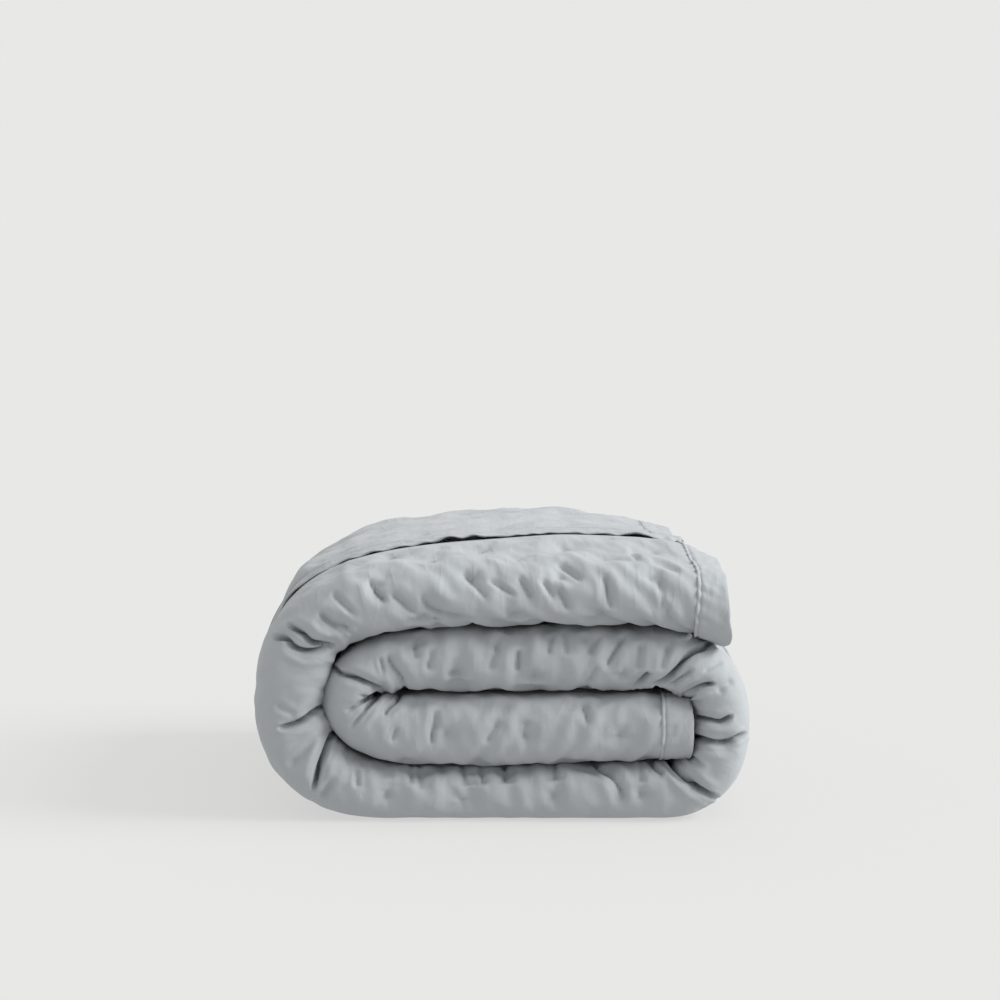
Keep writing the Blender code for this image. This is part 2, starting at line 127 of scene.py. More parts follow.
# How finely the line is read, and how much room the turns of the roll leave each other
LEG_STEPS = 24
SAMPLES = 1000
LINE_SOFTENING = 12.0
ROOM_SOFTENING = 6.0
TURN_GAP = 1.3
TIGHT_TURN_GAP = 3.0
TIGHT_RADIUS = 60.0
TIGHTEST_SHARE = 0.8
NEXT_TURN_FROM = 200.0
CORE_REACH = 300.0
FACING_FROM = 50.0
ROOM_WINDOW = 6
SPARE_ROOM = 1.0
LEAST_TURN = 1e-4
FAR_OFF = 1000.0
TINY = 1e-9


def ease(t):
    """A smooth step from 0 to 1."""
    t = np.clip(t, 0.0, 1.0)
    return t * t * (3.0 - 2.0 * t)


def mix(a, b, t):
    """From a, where t is 0, to b, where it is 1, in a straight line."""
    return a + (b - a) * t


def bell(t):
    """A bell around 0: e to the power of minus t squared."""
    return np.exp(-(t**2))


def smooth_line(rows, steps):
    """A smooth curve through the rows' points, with an even number of steps to each leg.

    Each leg is the cubic that leaves and meets its points along the slopes m1 and m2, which are worked
    out from the neighbours, weighed by the roots of their distances (centripetal spline).
    """
    rows = np.array(rows, float)
    padded = np.vstack([2 * rows[0] - rows[1], rows, 2 * rows[-1] - rows[-2]])
    t = np.linspace(0.0, 1.0, steps, endpoint=False)[:, None]
    legs = []
    for i in range(1, len(padded) - 2):
        p0, p1, p2, p3 = padded[i - 1 : i + 3]
        d0, d1, d2 = (math.sqrt(np.linalg.norm((b - a)[:2])) for a, b in ((p0, p1), (p1, p2), (p2, p3)))
        m1 = p2 - p1 + d1 * ((p1 - p0) / d0 - (p2 - p0) / (d0 + d1))
        m2 = p2 - p1 + d1 * ((p3 - p2) / d2 - (p3 - p1) / (d1 + d2))
        legs.append((2 * (p1 - p2) + m1 + m2) * t**3 + (3 * (p2 - p1) - 2 * m1 - m2) * t**2 + m1 * t + p1)
    return np.vstack(legs + [padded[-2:-1]])


def softened(rows, reach, step):
    """Each column averaged over a bell of this reach, with the ends kept."""
    count = int(3 * reach / step)
    offset = np.arange(-count, count + 1) * step
    share = np.exp(-0.5 * (offset / reach) ** 2)
    share /= share.sum()
    before = 2 * rows[0] - rows[count:0:-1]
    after = 2 * rows[-1] - rows[-2 : -count - 2 : -1]
    padded = np.vstack([before, rows, after])
    return np.column_stack([np.convolve(column, share, "valid") for column in padded.T])


def reach_to(start, way, walls, allowed):
    """How far each ray runs before it meets a wall, and which wall it meets.

    walls are the corners of one open line; allowed says which wall each ray may meet. Where ray and
    wall cross is worked out from the cross products of their directions.
    """
    edge = np.diff(walls, axis=0)
    gap = walls[None, :-1] - start[:, None]
    cross = way[:, None, 0] * edge[None, :, 1] - way[:, None, 1] * edge[None, :, 0]
    cross = np.where(np.abs(cross) < TINY, TINY, cross)
    far = (gap[..., 0] * edge[None, :, 1] - gap[..., 1] * edge[None, :, 0]) / cross
    share = (gap[..., 0] * way[:, None, 1] - gap[..., 1] * way[:, None, 0]) / cross
    met = (far > 1.0) & (share >= 0.0) & (share <= 1.0) & allowed
    far = np.where(met, far, FAR_OFF)
    return far.min(axis=1), far.argmin(axis=1)


class Strip:
    """The strip's middle line, with its outward side and what changes along it."""

    def __init__(self):
        line = smooth_line(list(PLACES.values()), LEG_STEPS)
        step = np.linalg.norm(np.diff(line[:, :2], axis=0), axis=1)
        run = np.concatenate([[0.0], np.cumsum(step)])
        self.length = run[-1]
        self.names = {name: run[LEG_STEPS * i] for i, name in enumerate(PLACES)}
        self.along = np.linspace(0.0, self.length, SAMPLES)
        even = np.column_stack([np.interp(self.along, run, column) for column in line.T])
        even = softened(even, LINE_SOFTENING, self.length / SAMPLES)
        self.line = even[:, :2]
        self.half = even[:, 2] - TURN_GAP / 2
        way = np.gradient(self.line, axis=0)
        way /= np.linalg.norm(way, axis=1)[:, None]
        self.out = np.column_stack([way[:, 1], -way[:, 0]])
        turn = np.gradient(np.unwrap(np.arctan2(way[:, 1], way[:, 0])), self.along)
        self.radius = 1.0 / np.maximum(np.abs(turn), LEAST_TURN)
        self.inside = self.room_inside() / self.half
        self.fronts = self.table(FRONTS, 1)
        self.ties, self.tie_rows = self.table(TIES, 2, 1)

    def room_inside(self):
        """The half thickness on the roll's inner side: as the outer one, or what the next turn leaves."""
        later = self.along[None, :-1] - self.along[:, None]
        skin = self.line + self.out * self.half[:, None]
        end_face = self.line[-1] - self.out[-1] * self.half[-1]
        allowed = np.column_stack([later > NEXT_TURN_FROM, np.ones(SAMPLES, bool)])
        allowed[self.along > self.length - CORE_REACH] = False
        to_skin, _ = reach_to(self.line, -self.out, np.vstack([skin, end_face]), allowed)
        facing = (self.out @ self.out[:-1].T < 0) & (np.abs(later) > FACING_FROM)
        to_line, met = reach_to(self.line, -self.out, self.line, facing)
        parting = TURN_GAP + TIGHT_TURN_GAP * bell(self.radius / TIGHT_RADIUS)
        shared = (to_line - parting) * self.half / (self.half + self.half[met])
        bend = self.radius * TIGHTEST_SHARE
        room = np.minimum.reduce([self.half + SPARE_ROOM, bend, to_skin - TURN_GAP, shared])
        padded = np.pad(room, ROOM_WINDOW, constant_values=np.inf)
        lowest = np.lib.stride_tricks.sliding_window_view(padded, 2 * ROOM_WINDOW + 1).min(axis=1)
        return softened(lowest[:, None], ROOM_SOFTENING, self.length / SAMPLES)[:, 0]

    def table(self, rows, first, shift=None):
        """The columns of a table of places, read all along the strip."""
        at = [self.names[row[0]] + (row[shift] if shift else 0.0) for row in rows]
        return [np.interp(self.along, at, column) for column in list(zip(*rows))[first:]]

    def at(self, s, values):
        """The values read at s, smoothly: a cubic through the four nearest samples."""
        place = np.clip(s / self.length, 0.0, 1.0) * (SAMPLES - 1)
        k = np.minimum(place.astype(int), SAMPLES - 2)
        f = place - k
        a, b, c, d = (values[np.clip(k + i, 0, SAMPLES - 1)] for i in (-1, 0, 1, 2))
        return b + 0.5 * f * (c - a + f * (2 * a - 5 * b + 4 * c - d + f * (3 * (b - c) + d - a)))


STRIP = Strip()


# How far the cloth is drawn back along the strip at its two ends, and within what reach
FLAP_SKEW = 54.0
NOSE_SKEW = 19.0
MIDDLE_SKEW = 35.0
FLAP_SKEW_REACH = 420.0
INNER_SKEW = 5.0
INNER_SKEW_REACH = 200.0


def skew(s, panel):
    """How far the cloth is drawn back along the strip: steps over the panels, faded in from each end.

    panel counts along the cloth from the flap's edge: the flap is 0 to 1, the back fold 1 to 2, the
    base 2 to 3, the front fold 3 to 4 and the middle layer 4 to 5.
    """
    at_inner_end = ease((s - STRIP.length) / INNER_SKEW_REACH + 1.0)
    inner = INNER_SKEW * np.clip(3.5 - panel, -0.5, 0.5) * at_inner_end
    flap = FLAP_SKEW * (1.0 - ease((panel - 1.5) / 1.5))
    nose = NOSE_SKEW * np.clip(panel - 3.0, 0.0, 1.0)
    middle = MIDDLE_SKEW * np.clip(panel - 4.0, 0.0, 1.0)
    return (flap + nose + middle) * ease(1.0 - s / FLAP_SKEW_REACH) + inner


# The roll's half depth, and how it is lower at its back and thinner at its outer end
HALF_DEPTH = 288.0
FLOOR_SINK = 1.6
BACK_TAPER = 0.06
END_THIN = 22.0
END_THIN_REACH = 230.0
END_THIN_FROM = -150.0
END_THIN_RUN = 250.0


def placed(s, y, n):
    """Points at their places along the strip, in the room.

    The roll is lower at its back, and the layers are thinner there towards the outer end.
    """
    half = STRIP.at(s, STRIP.half)
    thin = END_THIN * (1.0 - ease(s / END_THIN_REACH)) * ease((y - END_THIN_FROM) / END_THIN_RUN)
    n = n - thin * np.clip((n + half) / (2 * half), 0.0, 1.0)
    n = np.where(n < 0, n * STRIP.at(s, STRIP.inside), n)
    x = STRIP.at(s, STRIP.line[:, 0]) + n * STRIP.at(s, STRIP.out[:, 0])
    z = STRIP.at(s, STRIP.line[:, 1]) + n * STRIP.at(s, STRIP.out[:, 1])
    z = z * (1.0 - BACK_TAPER * (y + HALF_DEPTH) / (2 * HALF_DEPTH)) - FLOOR_SINK
    return np.stack([x, y, z], axis=-1)


# The fold's layers: the room left for the bindings, the gaps, the two folds and the hidden edges
BINDING_WIDTH = 33.0
BINDING_THICK = 3.0
SEAM_GAP = 0.6
SEAM_THICK = 6.0
LAYER_GAP = 1.2
BACK_INSET = 4.0
BACK_WANDER = 3.0
EDGE_WANDER = 5.0
FLAP_TAPER = 100.0
FLAP_RISE_RUN = 90.0
DIP_RUN = 28.0
BACK_FOLD = 50.0
BACK_HOLLOW = 24.0
BACK_EDGE = 62.0
TIP_THICK = 12.0
FRONT_HOLLOW = 7.0
NOSE_BLUNTNESS = 0.84
INNER_SHOULDER = 43.0
BACK_WANDER_RUN = 97.0
EDGE_WANDER_RUN = 61.0


class Section:
    """The fold's sizes at each station, as columns, and its skins as rows of corners.

    A skin gives depth (Y), height above the middle line, and panel number.
    """

    def __init__(self, s):
        self.s = s[:, None]
        self.half = STRIP.at(self.s, STRIP.half)
        forward, self.nose, self.shoulder, self.crown, self.rise, setback = (
            STRIP.at(self.s, column) for column in STRIP.fronts
        )
        self.front = -HALF_DEPTH - forward
        self.back = HALF_DEPTH - BACK_INSET - BACK_WANDER * np.sin(self.s / BACK_WANDER_RUN)
        self.edge = self.front + setback + EDGE_WANDER * np.sin(self.s / EDGE_WANDER_RUN)
        self.seam = self.edge + BINDING_WIDTH + SEAM_GAP
        self.full = self.edge + FLAP_TAPER
        self.back_start = self.back - BACK_FOLD
        self.middle_front = self.front + self.shoulder
        self.middle_end = self.back - BACK_EDGE
        self.base_front = self.front + INNER_SHOULDER
        self.third = (2 * self.half + self.crown + self.rise - 2 * LAYER_GAP) / 3
        self.lap = np.minimum(self.rise, BINDING_THICK + LAYER_GAP)

    def inside(self, depth):
        """The middle line's points at this depth, which lie inside the layers."""
        return placed(self.s, depth, 0.0 * self.s)

    def crowned(self, y):
        """The middle layer's height: the half thickness, and the crown eased in behind the front."""
        run = self.edge - DIP_RUN - self.middle_front
        return self.half + self.crown * ease((y - self.middle_front) / run)

    def flap_top(self, y):
        """The flap's height: it lies on the middle layer at its edge and rises behind it."""
        lifted = mix(self.lap, self.rise, ease((y - self.edge) / FLAP_RISE_RUN))
        return self.half + self.crown + lifted

    def flap_base(self, y):
        """The flap's underside: its top less a thickness that grows from the seam on."""
        filled = mix(SEAM_THICK, self.third, np.minimum(1.0, (y - self.seam) / (self.full - self.seam)))
        return self.flap_top(y) - filled

    def corners(self, y, n, panel):
        """A skin's depth, height and panel number, all with a row for each station."""
        shape = np.broadcast_shapes(y.shape, n.shape, self.s.shape)
        return [np.broadcast_to(value, shape) for value in (y, n, panel)]

    def flap(self, count):
        """The flap's top, from its seam to the back fold."""
        y = mix(self.seam, self.back_start, np.linspace(0.0, 1.0, count))
        return self.corners(y, self.flap_top(y), (y - self.edge) / (self.back_start - self.edge))

    def back_fold(self, count):
        """A half round, taller by the crown and the rise, without its first corner."""
        a = np.radians(np.linspace(90.0, -90.0, count + 1)[1:])
        lift = (self.crown + self.rise) / 2
        y = self.back_start + BACK_FOLD * np.cos(a)
        return self.corners(y, lift + (self.half + lift) * np.sin(a), 1.5 - a / math.pi)

    def base(self, count):
        """The face on the roll's inner side, between the two folds."""
        y = mix(self.back_start, self.base_front, np.linspace(0.0, 1.0, count + 2)[1:-1])
        return self.corners(y, -self.half, 2.0 + (self.back_start - y) / (self.back_start - self.base_front))

    def front_fold(self, count):
        """A blunt half round: depth and height are powers of the angle's cosine and sine."""
        a = np.radians(np.linspace(-90.0, 90.0, count))
        depth = np.where(a < 0, INNER_SHOULDER, self.shoulder)
        tall = np.where(a < 0, self.half + self.nose, self.half - self.nose)
        y = self.front + depth * (1 - np.abs(np.cos(a)) ** NOSE_BLUNTNESS)
        n = self.nose + tall * np.sign(a) * np.abs(np.sin(a)) ** NOSE_BLUNTNESS
        return self.corners(y, n, 3.5 + a / math.pi)

    def top_strip(self, count):
        """The top between the front fold and the flap's edge, rising to its crown."""
        y = mix(self.middle_front, self.edge - DIP_RUN, np.linspace(0.0, 1.0, count + 1)[1:])
        span = self.middle_end - self.middle_front
        return self.corners(y, self.crowned(y), 4.0 + (y - self.middle_front) / span)

    def under_flap(self):
        """The top where the flap lies on it, and the middle layer's hidden edge."""
        under_edge = self.flap_top(self.edge) - BINDING_THICK - LAYER_GAP
        lap_top, tip_top = self.flap_base(self.full) - LAYER_GAP, self.flap_base(self.middle_end) - LAYER_GAP
        y = np.hstack([self.edge - BINDING_THICK, self.seam, self.full, self.middle_end])
        n = np.hstack([under_edge, self.flap_base(self.seam) - LAYER_GAP, lap_top, tip_top])
        panel = 4.0 + (y - self.middle_front) / (self.middle_end - self.middle_front)
        tip = np.hstack([y, self.middle_end + TIP_THICK / 4]), np.hstack([n, tip_top - TIP_THICK / 2])
        return self.corners(*tip, np.hstack([panel, panel[:, -1:]]))

    def inner_skin(self):
        """The hidden faces, back from the middle layer's edge to the flap's seam."""
        two = self.half - LAYER_GAP / 2
        crease = self.front + two
        depths = np.hstack([crease + FRONT_HOLLOW, self.edge - DIP_RUN, self.full, self.middle_end])
        base_top = np.hstack([two, two, self.third, self.third]) - self.half
        tip_top = self.flap_base(self.middle_end) - LAYER_GAP
        middle_base = np.hstack([base_top[:, :3] + LAYER_GAP, tip_top - TIP_THICK])
        arc = np.radians([45.0, 0.0, -45.0])
        front_y = crease + FRONT_HOLLOW * (1 - np.cos(arc))
        front_n = mix(base_top[:, :1], middle_base[:, :1], 0.5 + 0.5 * np.sin(arc))
        back_y = self.back_start + BACK_HOLLOW * np.cos(arc[::-1])
        back_n = mix(base_top[:, 3:], self.flap_base(self.back_start), 0.5 + 0.5 * np.sin(arc[::-1]))
        last_y = np.hstack([self.back_start, self.middle_end, self.full, self.seam])
        y = np.hstack([depths[:, ::-1], front_y, depths, back_y, last_y])
        n = np.hstack([middle_base[:, ::-1], front_n, base_top, back_n, self.flap_base(last_y)])
        panel = [5.0, 4.6, 4.2, 4.0, 3.75, 3.5, 3.25, 3.0, 2.7, 2.4, 2.1, 1.75, 1.5, 1.25, 1.0, 0.9, 0.5, 0.1]
        return self.corners(y, n, np.array(panel))


def joined(*skins):
    """Stretches of skin side by side, as depth, height and panel number."""
    return [np.hstack(values) for values in zip(*skins)]


def laid(section, y, n, panel):
    """A skin's points in the room, each drawn back along the strip by its skew."""
    return placed(section.s + skew(section.s, panel), y, n)


def run_across(y, n):
    """How far each corner of a skin is from its first one: the sum of the steps between them."""
    return np.cumsum(np.hypot(np.diff(y, prepend=y[:, :1]), np.diff(n, prepend=n[:, :1])), axis=1)


def unit(v):
    """Vectors divided by their length."""
    return v / np.maximum(np.linalg.norm(v, axis=-1, keepdims=True), TINY)


def outward(points, inside):
    """Unit normals of a grid of points, on the side away from the point given."""
    across = np.cross(np.gradient(points, axis=0), np.gradient(points, axis=1))
    return unit(across) * np.sign(np.sum(across * (points - inside), axis=-1).mean())


# The camera's height and distance are needed here too, because the creases are placed as it sees them.
EYE = (-2.2, -3288.0, 660.0)
SIGHT_PLANE = -235.0


def seen_from_front(points):
    """Where the sight line through each point meets the plane of the roll's outline: x and z."""
    share = (SIGHT_PLANE - EYE[1]) / (points[..., 1] - EYE[1])
    x = EYE[0] + (points[..., 0] - EYE[0]) * share
    z = EYE[2] + (points[..., 2] - EYE[2]) * share
    return x, z


# Creases as they are seen from the front: depth, half width, whether the last end fades too, and
# their points, x and z
CREASES = (
    # left bend
    (9, 5, 0, ((-240, 216), (-222, 205), (-212, 196), (-200, 193), (-188, 191))),
    (9, 5, 0, ((-257, 200), (-241, 200), (-232, 191), (-222, 186), (-211, 185), (-200, 187), (-191, 189))),
    (5, 5, 0, ((-204, 229), (-192, 217), (-175, 213), (-167, 205))),
    (8, 5, 0, ((-251, 98), (-235, 102), (-221, 108), (-210, 116), (-200, 123))),
    (4, 9, 0, ((-242, 52), (-228, 65), (-212, 80), (-203, 90))),
    (11, 5, 0, ((-212, 26), (-208, 40), (-203, 57), (-196, 74), (-189, 93))),
    (4, 8, 0, ((-203, 15), (-190, 39))),
    (3, 8, 1, ((-253, 127), (-240, 118), (-228, 114))),
    # outer run, left half
    (4, 7, 0, ((-190, 253), (-163, 225))),
    (6, 4, 1, ((-148, 268), (-141, 253), (-127, 239))),
    (4, 6, 0, ((-127, 253), (-93, 225))),
    (5, 6, 0, ((-92, 253), (-81, 235), (-33, 220))),
    (4, 6, 1, ((-46, 276), (-13, 240))),
    (4, 6, 1, ((-18, 267), (19, 245))),
    (5, 6, 0, ((-205, 230), (-181, 209))),
    (4, 4, 0, ((-76, 223), (-69, 217))),
    # outer run, right half
    (4, 6, 1, ((17, 271), (35, 242))),
    (4, 6, 1, ((42, 268), (59, 242))),
    (4, 6, 1, ((59, 285), (90, 263))),
    (4, 6, 1, ((62, 257), (75, 230))),
    (5, 4, 1, ((113, 274), (121, 230))),
    (3, 7, 1, ((173, 272), (181, 226))),
    (3, 4, 0, ((182, 237), (187, 218))),
    (3, 6, 1, ((140, 299), (153, 287))),
    (3, 6, 1, ((160, 287), (201, 274))),
    # inner left bend
    (7, 4, 0, ((-190, 170), (-180, 161), (-170, 158), (-162, 155), (-147, 148), (-134, 143))),
    (6, 4, 0, ((-177, 117), (-169, 120), (-156, 128), (-134, 141))),
    (5, 4, 0, ((-171, 95), (-162, 107), (-154, 117), (-145, 128), (-132, 141))),
    (5, 4, 0, ((-132, 111), (-127, 121), (-117, 130), (-112, 139))),
    # second run
    (6, 5, 0, ((-128, 184), (-122, 170), (-113, 157), (-107, 141))),
    (4, 5, 0, ((-136, 179), (-132, 162))),
    (4, 6, 1, ((-98, 200), (-95, 175))),
    (4, 7, 1, ((-77, 191), (-83, 161))),
    (4, 7, 1, ((-4, 200), (-13, 161))),
    (6, 5, 1, ((18, 188), (17, 161))),
    (4, 6, 1, ((55, 206), (51, 180))),
    (4, 6, 1, ((70, 211), (71, 180))),
    (4, 6, 1, ((108, 205), (96, 180))),
    (6, 5, 1, ((137, 206), (114, 165))),
    (4, 6, 0, ((107, 169), (95, 147))),
    (4, 7, 1, ((154, 197), (152, 163))),
    (4, 7, 1, ((186, 196), (176, 161))),
    (7, 5, 0, ((164, 161), (150, 146))),
    # right bend
    (9, 5, 0, ((232, 197), (225, 190), (214, 186), (205, 179), (196, 167), (182, 153), (171, 148))),
    (6, 4, 0, ((213, 165), (201, 156), (191, 149), (185, 147))),
    (7, 4, 0, ((237, 149), (225, 147), (212, 141), (202, 136))),
    (3, 7, 1, ((260, 152), (250, 148), (239, 138))),
    (2, 5, 1, ((248, 176), (234, 169), (223, 161))),
    (7, 4, 0, ((258, 113), (252, 110), (243, 106), (230, 108), (214, 112))),
    (7, 6, 0, ((274, 94), (266, 89), (252, 83), (239, 82), (225, 85), (212, 90))),
    (12, 5, 0, ((243, 18), (230, 24), (216, 33), (205, 43), (194, 54), (183, 67))),
    (6, 5, 0, ((181, 46), (172, 53), (163, 63))),
    (4, 7, 0, ((212, 63), (201, 69))),
    # floor run
    (6, 5, 0, ((138, 12), (132, 30), (123, 43), (109, 52), (98, 65))),
    (4, 6, 0, ((-162, 30), (-162, 56))),
    (4, 6, 0, ((-102, 34), (-102, 59))),
    (3, 6, 0, ((-92, 27), (-92, 56))),
    (4, 6, 0, ((-40, 32), (-45, 57))),
    (4, 6, 0, ((-20, 34), (-25, 56))),
    (4, 6, 0, ((3, 36), (3, 59))),
    (4, 6, 0, ((59, 39), (59, 59))),
    (3, 6, 0, ((156, 36), (154, 61))),
    # inner run
    (4, 3, 1, ((-75, 122), (-74, 105), (-78, 91), (-78, 78))),
    (3, 5, 1, ((-116, 100), (-124, 82))),
    (3, 6, 1, ((-2, 108), (-19, 80))),
    (3, 6, 1, ((28, 108), (25, 85))),
    (3, 3, 1, ((87, 130), (98, 102))),
)
# A crease's hollow and core, as shares of its depth and of its half width. The deep ones are slits.
CREASE_STEPS = 5
CORE_WIDTH = 0.38
CORE_LEAST = 1.6
SHOULDER_WIDTH = 1.7
SHOULDER_SHARE = 0.42
LIP_SHARE = 0.16
SLIT_DEPTH = 6.5
CORE_SHARE = 0.8
RIDGE_SHARE = 0.25
RIDGE_LIMIT = 4.0
SLIT_GAIN = 1.7
TIP_RUN = 0.22
SLIT_TIP_RUN = 0.14
OPEN_END = 0.5
SLIT_SHOULDER_RUN = 0.5
CREASE_RUN = 140.0
CREASE_REACH = 7
LIP_AT = 2.6
RIDGE_AT = 2.4
CORE_SHARPNESS = 1.5


def nearest_on_line(x, z, points):
    """How far each place is from a line, and where along it, from 0 to 1, the nearest point is."""
    step = np.diff(points, axis=0)
    size = np.linalg.norm(step, axis=1)
    run = np.concatenate([[0.0], np.cumsum(size)])
    best = np.full(x.shape, FAR_OFF)
    along = np.zeros(x.shape)
    for start, way, length, before in zip(points, step, size, run):
        px, pz = x - start[0], z - start[1]
        t = np.clip((px * way[0] + pz * way[1]) / length**2, 0.0, 1.0)
        far = np.hypot(px - t * way[0], pz - t * way[1])
        along = np.where(far < best, (before + t * length) / run[-1], along)
        best = np.minimum(far, best)
    return best, along


def crease_depth(x, z, s):
    """How deep the creases are at each place: their wide hollows, and their narrow cores.

    Both are bells of the distance to the crease's line, and beside them the cloth is raised. Hollows
    add up, and of the cores the deepest counts. A crease fades towards its start, and at its other
    end wholly, or by half where it opens into a gap between two turns. It is kept to the turn whose
    nose it comes nearest to.
    """
    wide, core, ridge = np.zeros_like(x), np.zeros_like(x), np.zeros_like(x)
    noses = seen_from_front(placed(STRIP.along, -HALF_DEPTH + 0.0 * STRIP.along, 0.0 * STRIP.along))
    for depth, width, fades, points in CREASES:
        points = smooth_line(points, CREASE_STEPS)
        gap = np.hypot(noses[0][:, None] - points[:, 0], noses[1][:, None] - points[:, 1]).min(axis=1)
        reach = CREASE_REACH * width
        low, high = points.min(axis=0) - reach, points.max(axis=0) + reach
        near = (x > low[0]) & (x < high[0]) & (z > low[1]) & (z < high[1])
        near &= np.abs(s - STRIP.along[gap.argmin()]) < CREASE_RUN
        far, along = nearest_on_line(x[near], z[near], points)
        slit = depth >= SLIT_DEPTH
        end = ease((1.0 - along) / TIP_RUN)
        if not fades:
            end = mix(OPEN_END, 1.0, end)
        strength = depth * ease(along / (SLIT_SHOULDER_RUN if slit else TIP_RUN)) * end
        hollow = SHOULDER_SHARE * bell(far / (SHOULDER_WIDTH * width))
        hollow -= LIP_SHARE * bell((far - LIP_AT * width) / width)
        wide[near] += strength * hollow
        strength = depth * ease(along / (SLIT_TIP_RUN if slit else TIP_RUN)) * end
        strength = strength * (CORE_SHARE + SLIT_GAIN * slit)
        narrow = max(CORE_WIDTH * width, CORE_LEAST)
        core[near] = np.maximum(core[near], strength * np.exp(-((far / narrow) ** CORE_SHARPNESS)))
        beside = RIDGE_SHARE * np.minimum(strength, RIDGE_LIMIT) * bell((far - RIDGE_AT * narrow) / narrow)
        ridge[near] = np.maximum(ridge[near], beside)
    return wide, core - ridge


def waves(u, v, reach, seed, count=9):
    """Soft unevenness, between about -1 and 1: the sum of sine waves in scattered directions.

    Each wave is 0.7 to 1.6 times the reach long, and the sum is divided by the root of their count.
    """
    draw = np.random.default_rng(seed)
    total = np.zeros(np.broadcast(u, v).shape)
    for angle, phase, size in zip(*draw.uniform(0, 1, (3, count))):
        length = reach * (0.7 + 0.9 * size)
        way = u * math.cos(angle * 2 * math.pi) + v * math.sin(angle * 2 * math.pi)
        total = total + np.sin(2 * math.pi * (way / length + phase))
    return total / math.sqrt(count)


def uneven(u, v, kind):
    """Waves of one kind: their height, their reach and the seed of their directions."""
    height, reach, seed = kind
    return height * waves(u, v, reach, seed)


# The staggered grid of ties
ROW_PITCH = 51.0
TIE_TURN = 5.0


def tie_distance(number, row):
    """Distance to the nearest tie and the angle around it, which starts elsewhere at each tie.

    Ties stand on whole numbers in even rows, and half-way in odd ones.
    """
    found = np.full(np.broadcast(number, row).shape, FAR_OFF)
    angle = np.zeros_like(found)
    for shift in (0, 1):
        du = (number - shift / 2) - np.round(number - shift / 2)
        dv = (row - shift) - 2 * np.round((row - shift) / 2)
        far = np.hypot(du * 2 * ROW_PITCH, dv * ROW_PITCH)
        turned = np.arctan2(dv, du * 2) + TIE_TURN * np.round(number - shift / 2)
        angle = np.where(far < found, turned, angle)
        found = np.minimum(found, far)
    return found, angle


# The pit at a tie, and the small pleats around it
TUFT_SHARP = 7.0
TUFT_REACH = 4.8
TUFT_PLEAT = 0.45
TUFT_PLEAT_FROM = 10.0
TUFT_PLEAT_RUN = 8.0


def tufted(far, angle):
    """The pull of a tie: a pit, and small pleats around it, three and five to the round.

    The pit is e to the power of minus the distance, and the pleats stand in a ring, a bell across.
    """
    rays = np.cos(3.0 * angle) + 0.7 * np.cos(5.0 * angle + 1.0)
    rays = rays * bell((far - TUFT_PLEAT_FROM) / TUFT_PLEAT_RUN)
    return TUFT_SHARP * np.exp(-far / TUFT_REACH) + TUFT_PLEAT * rays


# How the cloth is let settle over its filling, first in broad wrinkles and then in fine ones
EXCESS_ACROSS = -0.004
FINE_EXCESS = 0.02
BROAD_STEPS = 500
FINE_STEPS = 260
HOLD = 0.012
SLIDE = 0.02
BROAD_BEND = 0.02
FINE_BEND = 0.011
SHEAR = 0.3
LEAST_LENGTH = 1e-6


def shorten(points, near, far, rest, free_near, free_far, stiff):
    """Moves the ends of the threads between two sets of points until each has its own length.

    A stiff thread takes up all of its excess at once and a softer one a share of it, and its two ends
    move by as much as each is free to.
    """
    a, b = points[near], points[far]
    gap = b - a
    long = np.sqrt(np.einsum("ijk,ijk->ij", gap, gap)) + LEAST_LENGTH
    share = stiff * (long - rest) / long / np.maximum(free_near + free_far, LEAST_LENGTH)
    gap *= share[..., None]
    points[near] = a + gap * free_near[..., None]
    points[far] = b - gap * free_far[..., None]


